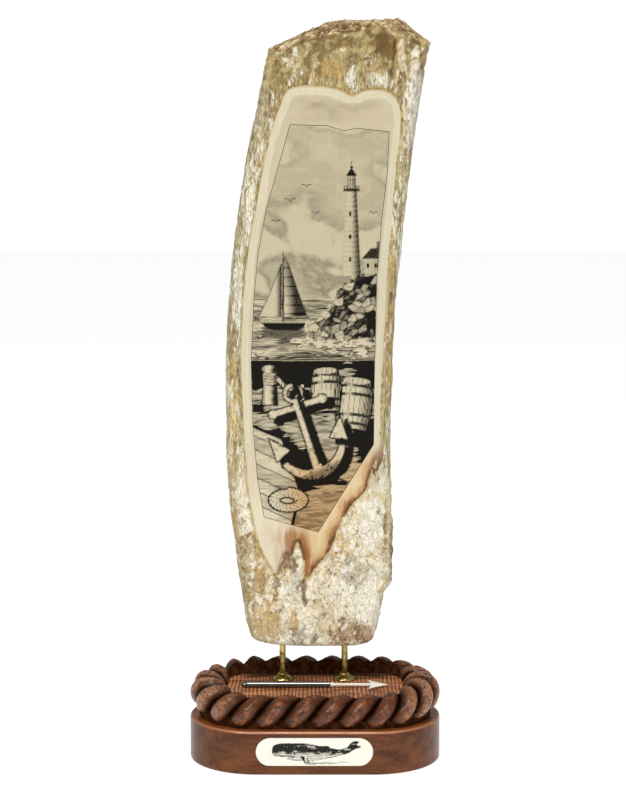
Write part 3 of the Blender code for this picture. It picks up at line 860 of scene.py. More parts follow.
def make_floor(finish):
    """Tray floor: a flat panel of the same block, inside the rope."""
    outline = tray_outline(9)
    rings = []
    for share, height in ((1.0, PLINTH_HEIGHT - 0.5), (1.0, FLOOR), (0.9, FLOOR), (0.5, FLOOR)):
        rings.append(np.column_stack([outline * share, np.full(len(outline), height)]))
    dress(new_piece("tray_floor", *stacked(rings), finish, 40), "carved_base")


def collar_profile():
    """Radius and height round a collar: its foot, a bevel, and a flare up to its neck."""
    bore, neck = POST_RADIUS + 0.05, POST_RADIUS + 0.75
    bevel, flare_foot = 1.85, COLLAR_RADIUS - 1.8
    profile = [(bore, 0.3)]
    for inset, height in ((0.2, 0.3), (0, 0.45), (0, 0.6), (0.3, 1.0), (0.75, 1.5), (1.3, bevel)):
        profile.append((COLLAR_RADIUS - inset, height))
    for share in np.arange(1, 9) / 8:
        radius = neck + (flare_foot - neck) * (1 - share) ** 1.5
        profile.append((radius, bevel + (COLLAR_HEIGHT - bevel) * share))
    return profile + [(neck - 0.3, COLLAR_HEIGHT + 0.3), (bore, COLLAR_HEIGHT + 0.3)]


def make_posts(finish):
    for side, x in zip(("left", "right"), POSTS_X):
        rings = lathe_rings([(POST_RADIUS, z) for z in POST_LEVELS], 40, (x, POST_Y, 0))
        post = new_piece("post_" + side, *stacked(rings), finish, 40)
        dress(post, "brass_post_" + side)
        rings = lathe_rings(collar_profile(), 56, (x, POST_Y, FLOOR))
        faces = grid_faces(*rings.shape[:2], True, True)
        collar = new_piece("collar_" + side, rings, faces, finish, 50)
        dress(collar, "brass_collar_" + side)


# ---------------------------------------------------------------- harpoon


def make_harpoon(dark, white):
    """Shaft with a rounded butt, a stepped shank, and a flat head with barbs, rolled a little."""
    start, end, tip = HARPOON_ENDS
    axis = (0, HARPOON_Y, HARPOON_Z)
    profile = [(0.15, start)]
    for turn in np.radians(90 * np.arange(1, 9) / 8):
        profile.append((SHAFT_RADIUS * math.sin(turn) ** 0.8, start + 3.2 * (1 - math.cos(turn))))
    profile += [(SHAFT_RADIUS, 0.0), (SHAFT_RADIUS, end - 0.25), (SHAFT_RADIUS - 0.25, end)]
    shaft = new_piece("harpoon_rod", *stacked(lathe_rings(profile, 32, axis, "x")), dark, 40)
    dress(shaft, "harpoon_shaft")
    profile = [(1.0, end), (1.12, end + 0.5), (0.95, end + 1.3), (0.8, end + 2.0)]
    profile += [(0.72, tip - 10.0), (0.5, tip - 4.0), (0.12, tip - 1.0)]
    shank = new_piece("harpoon_shank", *stacked(lathe_rings(profile, 24, axis, "x")), white, 50)
    dress(shank, "harpoon_head")
    outline = [(0.0, 0.0), (-3.2, 1.25), (-6.6, 2.7), (-10.0, 4.4), (-9.4, 2.6), (-8.4, 0.8)]
    outline = np.array(outline + [(x, -y) for x, y in reversed(outline[1:])])
    centre = np.array((-5.2, 0.0))
    c, s = math.cos(BLADE_ROLL), math.sin(BLADE_ROLL)
    rings = []
    for share, z in ((0.72, -0.40), (0.97, -0.22), (1.0, 0.0), (0.97, 0.22), (0.72, 0.40)):
        x, y = (centre + (outline - centre) * share).T
        rings.append(np.stack([x + tip, y * c - z * s + HARPOON_Y, y * s + z * c + HARPOON_Z], -1))
    blade = new_piece("harpoon_blade", *stacked(rings), white, 50)
    dress(blade, "harpoon_head")


# ---------------------------------------------------------------- tusk


def tusk_edges(height):
    """Both edges of the tusk, seen from the front, this far above its foot."""
    left = MIDDLE_X - HALF_WIDTH + (height - LEFT_TURN) ** 2 / (2 * LEFT_RADIUS)
    rise = height - RIGHT_TURN
    wide = rise**2 / (2 * RIGHT_RADIUS)
    taper = -FOOT_TAPER * (rise / RIGHT_TURN) ** 2
    return left, MIDDLE_X + HALF_WIDTH - 1.2 + np.where(rise > 0, wide, taper)


def section_columns(front_count, back_count):
    """Across and through shares of evenly spaced points round the tusk's section."""
    made = []
    for start, power, depth, count in (
        (math.pi, 2 / FRONT_SQUARE, FRONT_DEPTH, front_count),
        (0.0, 2 / BACK_SQUARE, BACK_DEPTH, back_count),
    ):
        a = np.linspace(start, start + math.pi, 20001)
        across = np.sign(np.cos(a)) * np.abs(np.cos(a)) ** power
        through = np.sign(np.sin(a)) * np.abs(np.sin(a)) ** power
        if start == 0.0:
            through = np.abs(through)
        reach = np.hypot(np.diff(across) * HALF_WIDTH, np.diff(through) * depth)
        along = np.concatenate([[0], np.cumsum(reach)])
        stops = along[-1] * np.arange(count) / count
        made.append((np.interp(stops, along, across), np.interp(stops, along, through)))
    return np.concatenate([made[0][0], made[1][0]]), np.concatenate([made[0][1], made[1][1]])


def broken_top(across, through):
    """Height of the broken end above the foot."""
    drop = 11.0 * smooth(0.15, 1.0, -across) + 7.7 * smooth(0.52, 1.0, across)
    front = (1 - through) / 2
    wander = 3.4 * np.exp(-(((across - 0.30) / 0.20) ** 2)) - 1.6 * smooth(0.5, 0.7, across)
    return LENGTH - 7.5 * front - drop + front**2 * wander


WINDOW = rounded_outline([
    (-17.6, 320.0), (-14.8, 327.0), (-9.5, 330.6), (3.8, 330.6), (12.0, 329.0), (17.6, 326.2),
    (23.0, 328.6), (31.0, 329.2), (37.6, 326.2), (41.1, 320.4), (41.6, 311.0), (40.3, 298.1),
    (38.9, 281.9), (37.6, 262.0), (35.7, 242.9), (34.7, 217.6), (33.2, 192.2), (32.6, 172.0),
    (32.2, 153.6), (29.4, 148.4), (26.8, 141.4), (25.4, 135.5), (19.4, 129.2), (14.2, 122.0),
    (9.8, 112.2), (5.8, 102.4), (0.8, 97.5), (-4.0, 90.4), (-5.6, 100.6), (-8.6, 108.6),
    (-10.4, 104.4), (-12.3, 102.2), (-15.6, 103.2), (-17.4, 98.8), (-19.4, 93.2), (-21.4, 95.6),
    (-25.6, 102.8), (-29.0, 112.0), (-32.2, 127.4), (-34.2, 144.8), (-35.7, 170.1),
    (-36.5, 198.0), (-35.4, 225.9), (-33.2, 250.0), (-29.6, 269.5), (-27.2, 283.0),
    (-24.6, 296.0), (-21.6, 309.0),
])


def face_level(x, z):
    """Depth of the smooth front of the tusk at a place seen from the front."""
    left, right = tusk_edges(z - FOOT)
    across = (x - (left + right) / 2) / ((right - left) / 2)
    through = (1 - np.clip(np.abs(across), 0, 1) ** FRONT_SQUARE) ** (1 / FRONT_SQUARE)
    return TUSK_Y - FRONT_DEPTH * through


HOLLOWS = (
    # x, z, half-width, half-height, depth; the first two stand out instead
    (-19.5, 349.0, 2.6, 2.6, -1.4),
    (39.8, 343.5, 1.4, 8.0, -0.9),
    (32.0, 350.5, 3.6, 6.0, 2.4),
    (14.8, 351.5, 4.6, 2.6, 1.8),
    (0.5, 353.5, 6.0, 1.8, 1.3),
    (47.0, 352.5, 3.6, 1.6, 1.2),
    (9.0, 343.0, 5.0, 3.0, 0.7),
)

PATCHES = (
    # x, z, half-width, half-height, tint, more pale patches, more dark patches
    (16.0, 63.0, 14.0, 8.0, (158, 120, 80), -0.2, 0.30),
    (-20.0, 76.0, 4.0, 10.0, (196, 156, 92), -0.2, 0.05),
    (27.5, 74.0, 6.0, 18.0, (236, 229, 206), 0.15, -0.3),
    (4.0, 72.0, 12.0, 9.0, (226, 208, 170), 0.0, -0.1),
    (48.0, 322.0, 5.0, 20.0, (220, 216, 200), 0.4, -0.15),
    (31.0, 334.0, 7.0, 4.0, (214, 206, 184), 0.15, -0.05),
    (17.0, 335.0, 2.2, 7.0, (216, 208, 184), 0.3, -0.1),
    (41.5, 343.0, 2.0, 8.0, (214, 196, 158), 0.15, -0.2),
    (4.0, 339.0, 8.0, 6.0, (184, 152, 90), -0.15, 0.05),
    (38.0, 124.0, 3.0, 26.0, (216, 204, 160), 0.05, -0.2),
    (40.0, 104.0, 3.4, 19.0, (136, 100, 50), -0.5, 0.3),
    (34.6, 112.0, 0.9, 17.0, (138, 104, 60), -0.4, 0.2),
    (26.0, 116.0, 5.0, 14.0, (226, 220, 202), 0.1, -0.1),
    (-9.0, 88.0, 3.0, 9.0, (206, 196, 176), 0.1, 0.05),
    (20.0, 92.0, 9.0, 9.0, (176, 166, 142), -0.05, 0.20),
    (4.0, 84.0, 7.0, 12.0, (196, 172, 130), 0.0, 0.10),
    (-6.0, 62.0, 9.0, 5.0, (160, 146, 128), 0.0, 0.25),
    (-27.0, 120.0, 4.0, 30.0, (214, 190, 128), -0.1, -0.05),
    (-5.2, 84.0, 1.4, 8.5, (128, 78, 38), -0.6, 0.35),
    (-12.0, 99.0, 3.6, 5.0, (120, 82, 44), -0.4, 0.35),
    (-10.0, 70.0, 3.0, 7.0, (190, 158, 104), -0.3, 0.2),
    (-31.0, 96.0, 7.0, 28.0, (168, 140, 90), -0.2, 0.12),
    (33.0, 350.0, 4.6, 7.5, (112, 78, 40), -0.4, 0.4),
    (14.8, 351.5, 4.0, 2.4, (150, 118, 72), -0.2, 0.2),
    (-24.0, 66.0, 8.0, 9.0, (190, 166, 118), -0.2, 0.05),
    (27.0, 62.0, 6.0, 5.0, (168, 132, 90), -0.2, 0.2),
    (-31.0, 275.0, 3.2, 22.0, (222, 214, 192), 0.25, -0.05),
    (-37.5, 228.0, 3.0, 24.0, (222, 216, 198), 0.3, -0.05),
    (-25.0, 312.0, 3.0, 16.0, (206, 194, 156), 0.1, 0.05),
    (-40.0, 170.0, 3.0, 26.0, (200, 176, 112), -0.05, 0.0),
    (37.0, 215.0, 2.6, 40.0, (196, 166, 100), -0.05, 0.0),
)


def bark_colours(x, y, z, across, through, window, relief):
    """Broad tint of the bark, and how much of it is pale or dark patches."""
    p = (x, y, z)

    def vary(size, octaves, seed):
        return rumple(p, size, octaves, seed)

    front = smooth(0.15, -0.25, through)
    tint = blend(screen(166, 150, 104) + 0 * x[..., None], screen(194, 182, 146),
                 smooth(-0.5, 0.5, vary((4.5, 4.5, 34.0), 3, 11)))
    tint = blend(tint, screen(172, 138, 76), 0.6 * smooth(0.15, 0.8, vary((5, 5, 26), 3, 12)))
    pale = 0.36 + 0.36 * vary((3.6, 3.6, 20.0), 3, 13)
    dark = 0.16 + 0.22 * vary((3.0, 3.0, 12.0), 3, 14)
    # the head of the front is browner and blotched
    head = front * smooth(322, 336, z)
    blotches = smooth(0.1, 0.8, vary((7, 7, 6), 3, 17))
    tint = blend(tint, screen(172, 152, 100), 0.85 * head)
    tint = blend(tint, screen(148, 112, 60), 0.7 * head * blotches)
    # painted light and shade: the tint is lighter on raised bark and darker in hollows
    tint = tint * (1 + 0.20 * np.clip(relief, -1.6, 1.4))[..., None]
    pale = pale * (1 - head) + head * (0.26 + 0.34 * vary((4, 4, 6), 3, 18))
    dark = dark + head * (0.10 + 0.22 * vary((4, 4, 4), 2, 16))
    # the foot of the front is cream to white and granular, with tan blotches
    foot = front * smooth(160, 126, z) * smooth(-0.98, -0.82, across) * smooth(0.99, 0.90, across)
    low = blend(screen(228, 217, 186) + 0 * x[..., None], screen(204, 178, 130),
                smooth(0.1, 0.8, vary((7, 7, 9), 3, 20)))
    tint = blend(tint, low, foot)
    pale = pale * (1 - foot) + foot * (0.50 + 0.36 * vary((4, 4, 4.5), 3, 19))
    dark = dark * (1 - foot) + foot * (0.04 + 0.34 * vary((3.4, 3.4, 4.4), 3, 21))
    # sides and back: more even
    tint = blend(tint, screen(180, 162, 118), 0.5 * smooth(-0.1, 0.5, through))
    wander = 0.55 * vary((3.2, 3.2, 4.0), 3, 22)
    for px, pz, rx, rz, shade, more_pale, more_dark in PATCHES:
        inside = front * smooth(1.15, 0.6, np.hypot((x - px) / rx, (z - pz) / rz) + wander)
        tint = blend(tint, screen(*shade), 0.75 * inside)
        pale, dark = pale + more_pale * inside, dark + more_dark * inside
    near = front * smooth(1.8, 0.1, window)
    tint = blend(tint, screen(176, 148, 86), 0.7 * near)
    # painted light and shade: more pale patches on raised bark, more dark patches in hollows
    pale = pale - 0.3 * near + 0.22 * smooth(0.5, 1.2, relief)
    dark = dark + 0.42 * smooth(0.0, -1.1, relief)
    return tint, pale, dark


def dug_out(p, through):
    """Depth of the hollows, the crack and the pits at the head of the front."""
    x, _, z = p
    dug = np.zeros_like(x)
    for px, pz, rx, rz, deep in HOLLOWS:
        dug += deep * mound(x, z, px, pz, rx, rz, 1.6)
    crack = np.abs(x - (37.6 + 0.10 * (z - 344) + 0.4 * rumple((z, z, z), (5.0,) * 3, 2, 35)))
    dug += 1.8 * smooth(1.0, 0.1, crack) * smooth(332, 337, z) * smooth(353, 349, z)
    dug += 0.9 * smooth(330, 345, z) * smooth(0.1, 0.6, rumple(p, (6.0, 6.0, 5.0), 2, 36))
    return dug * smooth(0.1, -0.3, through)


def make_bark(finish):
    """The whole tusk but for its polished face, which lies in a shallow bed in the front."""
    across, through = section_columns(BARK_FRONT, BARK_BACK)
    top = broken_top(across, through)
    v = np.linspace(0, 1, BARK_ROWS)[:, None]
    h = v * top[None, :]
    a, t = across[None, :] + 0 * h, through[None, :] + 0 * h
    left, right = tusk_edges(h)
    half, middle = (right - left) / 2, (left + right) / 2
    depth = np.where(t < 0, FRONT_DEPTH, BACK_DEPTH)
    power = np.where(t < 0, FRONT_SQUARE, BACK_SQUARE)
    nx = np.sign(a) * np.abs(a) ** (power - 1) / half
    ny = np.sign(t) * np.abs(t) ** (power - 1) / depth
    size = np.hypot(nx, ny)
    nx, ny = nx / size, ny / size
    x, y, z = middle + a * half, TUSK_Y + t * depth, FOOT + h
    p = (x, y, z)
    below_top = top[None, :] - h
    window = np.where(t < 0, outline_distance(x, z, WINDOW), 50.0)
    ragged = 0.35 + 0.65 * smooth(160, 130, z)
    ragged = window + 0.7 * rumple(p, (2.2, 2.2, 4.0), 2, 31) * ragged
    relief = 0.60 * rumple(p, (9.0, 9.0, 44.0), 2, 32) + 0.55 * rumple(p, (3.0, 3.0, 12.0), 3, 33)
    relief += 0.40 * rumple(p, (1.7, 1.7, 2.4), 2, 34)
    relief += 1.1 * smooth(-24.0, -6.0, -below_top) * rumple(p, (2.8, 2.8, 2.2), 2, 38)
    dug = dug_out(p, t)
    level = np.where(t < 0, np.maximum(0.55 + 0.6 * relief, 0.15), relief * 0.8) - dug
    sink = smooth(0.1, -0.3, t) * smooth(0.5, -1.3, ragged)
    level = level * (1 - sink) - BED_DEPTH * sink
    level = level - eased(h, FOOT_ROUNDING) - eased(below_top, TOP_ROUNDING)
    x, y = x + nx * level, y + ny * level
    # a ridge of bark stands out low on the right edge
    ridge = 3.0 * (1 - smooth(28.3, 101.6, h)) * smooth(0.90, 0.99, a)
    ridge = ridge * (1 - 0.5 * np.maximum(t, 0))
    ridge = ridge * smooth(26.5, 30.5, h) + 0.6 * rumple(p, (3.0, 3.0, 3.0), 2, 37) * (ridge > 0.5)
    x += np.where(a > 0, ridge, 0.0)
    # the sides sit in a little, and the foot narrows to rounded corners
    x += smooth(0.55, 1.0, -a) * (1.1 + 1.0 * smooth(14, 0, h))
    x -= smooth(0.55, 1.0, a) * (1.2 + 3.0 * smooth(30, 0, h))
    z = z + (0.7 + 0.5 * smooth(0.6, 1.0, np.abs(a)) + 0.8 * smooth(0, -1, a)) * smooth(7, 0, h)
    z = z + 1.3 * smooth(0.35, 0.7, np.abs(a)) * smooth(20, 2, below_top) + 0.3 * v
    body = np.stack([x, y, z], -1)

    tint, pale, dark = bark_colours(x, y, z, a, t, window, relief - dug)
    grainy = np.maximum(smooth(0.15, -0.25, t) * smooth(150, 125, z), smooth(330, 345, z) * 0.6)
    rings, tints, pales, darks, grains = [body], [tint], [pale], [dark], [grainy]
    middle = body[-1].mean(0)
    # the broken end, as rings that close in on its middle
    for share in (0.985, 0.965, *np.linspace(0.94, 0.03, 30)):
        ring = middle + (body[-1] - middle) * share
        q = tuple(ring.T)
        rough = 0.9 * rumple(q, (6.0, 6.0, 6.0), 2, 41) + 1.5 * rumple(q, (2.2, 2.2, 2.2), 3, 42)
        rough = np.minimum(rough, 0.9) - 0.35
        lift = 1.3 * smooth(0.35, 0.7, np.abs(across)) + 0.3
        lift = lift + (rough + 0.2) * smooth(1.0, 0.93, share)
        ring[:, 2] = FOOT + broken_top(across * share, through * share) + lift
        # painted light and shade: raised parts of the broken end are cream and low parts brown,
        # with more dark patches in the pits
        raised = smooth(-1.0, 0.6, rough)
        shade = blend(screen(128, 92, 48) + 0 * ring, screen(224, 200, 152), raised)
        shade = blend(shade, screen(224, 172, 100), 0.5 * smooth(0.9, 1.0, share) + 0 * rough)
        pale = 0.10 + 0.25 * smooth(0.4, 1.6, rough) + 0.3 * smooth(0.93, 1.0, share)
        dark = 0.40 + 0.45 * smooth(-0.1, -1.5, rough) - 0.3 * smooth(0.94, 1.0, share)
        rings.append(ring[None])
        tints.append(shade[None])
        pales.append(pale[None])
        darks.append(dark[None])
        grains.append(np.ones((1, len(ring))))
    tusk = new_piece("tusk_bark", *stacked(np.concatenate(rings)), finish)
    dress(tusk, "tusk")
    ends = [tint[0].mean(0)[None], tints[-1][0].mean(0)[None]]
    tints = np.concatenate([np.concatenate(tints).reshape(-1, 3), *ends])
    mark(tusk, "tint", np.clip(tints, 0, 1))
    for name, values, end in (("pale", pales, 0.3), ("dark", darks, 0.3), ("grainy", grains, 1.0)):
        mark(tusk, name, np.concatenate([np.concatenate(values).ravel(), [end, end]]))


# ---------------------------------------------------------------- engraved picture


def fill(distance, soft=0.22):
    return smooth(soft, -soft, distance)


def box(x, z, half_x, half_z):
    """Distance to an upright rectangle round the middle, roughly."""
    return np.maximum(np.abs(x) - half_x, np.abs(z) - half_z)


class Picture:
    """Tones of an engraving, laid one over the other at the points of a face."""

    def __init__(self, x, z):
        self.x, self.z = x, z
        self.tone = np.zeros_like(x)
        self.phase = z / 0.62
        self.stipple = np.zeros_like(x)

    def cover(self, inside, tone, phase=None, stipple=0.0):
        """Cover what is there with this tone, where inside is 1."""
        self.tone = self.tone * (1 - inside) + tone * inside
        self.stipple = self.stipple * (1 - inside) + stipple * inside
        if phase is not None:
            self.phase = np.where(inside > 0.5, phase, self.phase)

    def lay(self, distance, tone, phase=None, soft=0.22):
        """Cover the inside of a form, given as the distance to its outline."""
        self.cover(fill(distance, soft), tone, phase)

    def shape(self, points, tone, phase=None):
        self.lay(outline_distance(self.x, self.z, points), tone, phase)

    def block(self, cx, cz, half_x, half_z, tone):
        self.lay(box(self.x - cx, self.z - cz, half_x, half_z), tone)


UPPER = [(-15.4, 300.5), (-12.0, 312.6), (6.0, 312.0), (13.5, 309.6), (20.0, 310.8), (35.6, 309.2),
         (34.8, 290.0), (32.2, 267.5), (29.9, 238.6), (29.1, 199.45), (-31.0, 199.45),
         (-30.4, 214.0), (-29.5, 230.4), (-27.5, 251.2), (-23.6, 271.8)]
LOWER = [(-31.1, 198.75), (29.0, 198.75), (28.8, 180.0), (28.7, 157.4), (14.5, 135.0), (1.6, 114.2),
         (-25.0, 121.4), (-28.2, 140.5), (-30.3, 166.3)]
BETWEEN = 199.2


def flat_noise(x, z, size, octaves=1, seed=0):
    return rumple((x, z, 0 * x), (*size, 1.0), octaves, seed)


def facets(u, v, seed):
    """Broken facets about one unit wide: a random shade for each, and the distance to its edge."""
    table = np.random.default_rng(seed).uniform(0, 1, (64, 64, 3))
    cu, cv = np.floor(u).astype(int), np.floor(v).astype(int)
    first, second = np.full(u.shape, 9.0), np.full(u.shape, 9.0)
    shade = np.zeros_like(u)
    for du, dv in itertools.product((-1, 0, 1), repeat=2):
        pick = table[(cu + du) % 64, (cv + dv) % 64]
        away = np.hypot(cu + du + pick[..., 0] - u, cv + dv + pick[..., 1] - v)
        closer = away < first
        second = np.where(closer, first, np.minimum(second, away))
        shade = np.where(closer, pick[..., 2], shade)
        first = np.where(closer, away, first)
    return shade, second - first


def draw_sky(art):
    """Heaped clouds, shaded from below with fine dots."""
    x, z = art.x, art.z
    drift = flat_noise(x + 0.6 * z, z, (26.0, 15.0), 3, 51)
    puffs = flat_noise(x, z, (7.0, 6.0), 3, 52)
    heap = drift + 0.28 * puffs
    shade = 0.32 * smooth(-0.22, 0.16, heap) * smooth(0.55, 0.10, heap)
    shade = shade + 0.10 * smooth(0.1, 0.5, drift)
    shade = shade + 0.12 * smooth(-0.2, 0.3, puffs) * smooth(-0.1, 0.2, heap)
    shade = shade * (0.75 + 0.35 * smooth(300, 240, z)) + 0.03 + 0.10 * smooth(246, 229, z)
    art.cover(1.0, np.clip(shade, 0, 0.55), stipple=1.0)


def draw_sea(art, top, bottom):
    """Waves as long strokes that follow the swell, with a few bright crests."""
    x, z = art.x, art.z
    near = np.clip((top - z) / (top - bottom), 0, 1)
    swell = flat_noise(x, z, (13.0, 5.0), 2, 53)
    lift = z + 1.6 * swell
    strokes = flat_noise(x + 2.0 * swell, lift, (8.0, 0.75), 2, 54)
    broad = flat_noise(x, lift, (12.0, 2.2), 2, 58)
    crest = flat_noise(x + 0.4 * z, lift, (7.0, 1.5), 3, 60)
    tone = 0.34 + 0.34 * strokes + 0.26 * broad + 0.10 * near
    tone = tone * (1 - 0.95 * smooth(0.40, 0.52, crest))
    tone = tone + 0.40 * smooth(0.26, 0.38, crest) * (crest < 0.42)
    art.lay(z - top, np.clip(tone, 0.02, 0.96), z / 0.62 + 1.4 * swell)
    art.cover(fill(np.abs(z - top + 0.2) - 0.12) * (x < 8), 0.5)


def draw_headland(art):
    """Broken rock with surf at its foot."""
    x, z = art.x, art.z
    ridge = [(40, 208), (-8, 209), (-5, 214), (0, 217), (3, 222), (8, 225), (10, 231), (14, 236),
             (18, 240.5), (24, 241), (28, 244), (40, 246)]
    d = outline_distance(x, z, ridge) + 1.3 * flat_noise(x, z, (2.6, 2.6), 3, 55)
    shade, gap = facets((x + 0.55 * z) / 4.6, (0.9 * z - 0.5 * x) / 3.0, 56)
    small, chink = facets((x + 0.3 * z) / 1.9, (z - 0.4 * x) / 1.5, 59)
    tone = 0.10 + 0.72 * smooth(0.1, 0.9, shade) + 0.30 * (small - 0.5)
    tone = tone + 0.55 * smooth(0.14, 0.03, gap) + 0.22 * smooth(0.12, 0.02, chink)
    tone = tone - 0.22 * smooth(-2.6, -0.4, d) + 0.10 * smooth(8, 26, x)
    art.lay(d, np.clip(tone, 0.04, 1.0), (x + 0.8 * z) / 0.7)
    surf = d + 2.2 * flat_noise(x, z, (2.4, 1.4), 3, 57)
    art.cover(fill(np.abs(surf - 1.4) - 1.3) * smooth(219, 215, z), 0.02)
    art.cover(fill(np.abs(surf - 3.0) - 0.35) * smooth(217, 214, z), 0.7)


def draw_lighthouse(art):
    """Tapered tower with a gallery and a lamp, and the keeper's house beside it."""
    x, z = art.x, art.z
    foot, gallery, axis, lamp = 240.0, 281.0, 17.5, 285.2
    half = 4.6 - 2.1 * np.clip((z - foot) / (gallery - foot), 0, 1)
    across = (x - axis) / half
    shade = smooth(-0.2, 1.0, across) * 0.78 + 0.04 + 0.12 * smooth(-0.8, -1.0, across)
    courses = 0.10 * (np.sin(z * 2.6) > 0.85)
    tower = box(x - axis, z - (foot + gallery) / 2, half, (gallery - foot) / 2)
    art.lay(tower, shade + courses, (z + 0.25 * across**2) / 0.6)
    for level in (248.0, 259.0, 270.0):
        art.block(axis - 0.6, level, 0.55, 1.0, 0.97)
    art.block(axis, gallery + 0.4, 3.9, 0.55, 0.92)
    art.block(axis, gallery + 2.2, 3.8, 0.16, 0.85)
    for k in range(-3, 4):
        art.block(axis + 1.2 * k, gallery + 1.5, 0.14, 0.9, 0.8)
    art.block(axis, lamp, 1.9, 3.0, 0.18 + 0.5 * smooth(0.2, 1.8, x - axis))
    for bar in (-1.8, -0.6, 0.6, 1.8):
        art.block(axis + bar, lamp, 0.16, 3.0, 0.9)
    roof = [(-2.7, 288.2), (2.7, 288.2), (0.5, 291.4), (-0.5, 291.4)]
    art.shape([(axis + px, pz) for px, pz in roof], 0.93)
    art.lay(np.hypot(x - axis, z - 292.2) - 0.7, 0.9)
    art.lay(line_distance(x, z, (axis, 292), (axis, 295.6), 0.14), 0.85)
    wall = [(23.4, 241), (40, 241), (40, 248.6), (23.4, 248.6)]
    art.shape(wall, 0.16 + 0.3 * smooth(26, 34, x), x / 0.7)
    art.shape([(22.6, 248.4), (41, 248.4), (41, 253.4), (27.0, 253.4)], 0.86, (z - 0.4 * x) / 0.7)
    for px in (25.6, 29.4):
        art.block(px, 245.0, 0.6, 1.0, 0.95)
    art.block(30.6, 254.8, 0.9, 1.8, 0.7)


def draw_sloop(art, px, pz, size):
    """A small plain boat with one mast, a tall sail and a foresail."""
    x, z = (art.x - px) / size, (art.z - pz) / size

    def sail(points, tone, phase):
        d = outline_distance(x, z, points) * size
        art.lay(d - 0.25, 0.9)
        art.lay(d, tone, phase)

    art.lay(box(x, z + 2.6, 7.5 + 0.6 * np.sin(z * 5), 2.0) * size, 0.72, soft=0.8)
    seams = 0.35 * (np.sin(z * 1.9) > 0.9)
    sail([(0.3, 3.0), (0.5, 25.0), (2.0, 22.0), (5.2, 12.5), (8.4, 3.6)],
         0.04 + 0.8 * smooth(1.0, 6.0, x + 0.12 * z) + seams, (x + 0.5 * z) / 0.5)
    sail([(-0.6, 22.0), (-0.8, 3.4), (-8.6, 3.0), (-5.0, 10.5)],
         0.08 + 0.8 * smooth(-3.0, -0.4, x), (x - 0.4 * z) / 0.5)
    for start, end, first, last, tone in (((0, 0), (0, 26.5), 0.28, 0.14, 0.95),
                                          ((0, 2.4), (9.2, 2.9), 0.24, 0.24, 0.9),
                                          ((-8.0, 1.6), (-11.0, 3.2), 0.2, 0.2, 0.9)):
        art.lay(line_distance(x, z, start, end, first, last) * size, tone)
    hull = [(-8.6, 2.2), (-6.5, -0.6), (-3.5, -1.6), (5.0, -1.6), (7.6, -0.4), (8.4, 1.9), (0, 1.3)]
    hull = outline_distance(x, z, hull) * size
    art.lay(hull, 0.97 - 0.75 * smooth(0.55, 1.3, z), (x + z) / 0.5)


def draw_gull(art, px, pz, size):
    x, z = art.x - px, art.z - pz
    arch = size * 0.45 * np.sin(np.clip(np.abs(x) / size, 0, 1) * math.pi * 0.8)
    art.lay(box(x, z - arch, size, 0.22), 0.85, soft=0.2)


def draw_water(art):
    """Dark harbour water with light lying on it in ragged streaks."""
    x, z = art.x, art.z
    swell = flat_noise(x, z, (10.0, 6.0), 2, 61)
    ragged = flat_noise(x, z + swell, (6.0, 0.8), 2, 62)
    pool = flat_noise(x, z, (17.0, 13.0), 2, 63)
    dark = 1.1 * pool + 0.30 * ragged + 0.35 * swell + 0.8 * smooth(176, 196, z)
    dark = dark + 0.45 * smooth(8, 24, x) * smooth(158, 172, z) - 0.55 * smooth(152, 126, z)
    fine = 0.24 + 0.34 * smooth(-0.5, 0.5, ragged) + 0.12 * smooth(-0.1, 0.05, dark + 0.15)
    tone = fine + (1.0 - fine) * smooth(0.02, 0.12, dark)
    art.cover(1.0, np.clip(tone, 0.08, 1.0), z / 0.60 + 1.2 * swell)


def draw_bollard(art, px, pz, size):
    """A mooring post with turns of rope round its neck."""
    x, z = (art.x - px) / size, (art.z - pz) / size
    cap = np.hypot(x / 3.2, (z - 7.0) / 1.5) * 2 - 2
    d = np.minimum(box(x, z, 2.2 + 0.05 * (6 - z), 7.0), cap) * size
    art.lay(d - 0.5, 0.98, soft=0.4)
    tone = 0.06 + 0.85 * smooth(-0.4, 1.9, x + 0.25 * np.sin(z * 2.2)) + 0.4 * smooth(-1.5, -2.3, x)
    art.lay(d, np.clip(tone, 0.03, 0.98), x / 0.35)
    for k in range(4):
        turn = z - 1.6 - 1.15 * k + 0.35 * (1 - (x / 2.5) ** 2)
        band = box(x, turn, 2.65, 0.55) * size
        art.lay(band - 0.25, 0.97, soft=0.25)
        strand = smooth(0.6, 0.9, (x / 0.75 + turn) % 1)
        art.lay(band, 0.05 + 0.75 * strand + 0.5 * smooth(1.0, 2.4, x))


FLUKE = [(1.95, 0.62), (1.95, -0.75), (1.05, -0.35)]


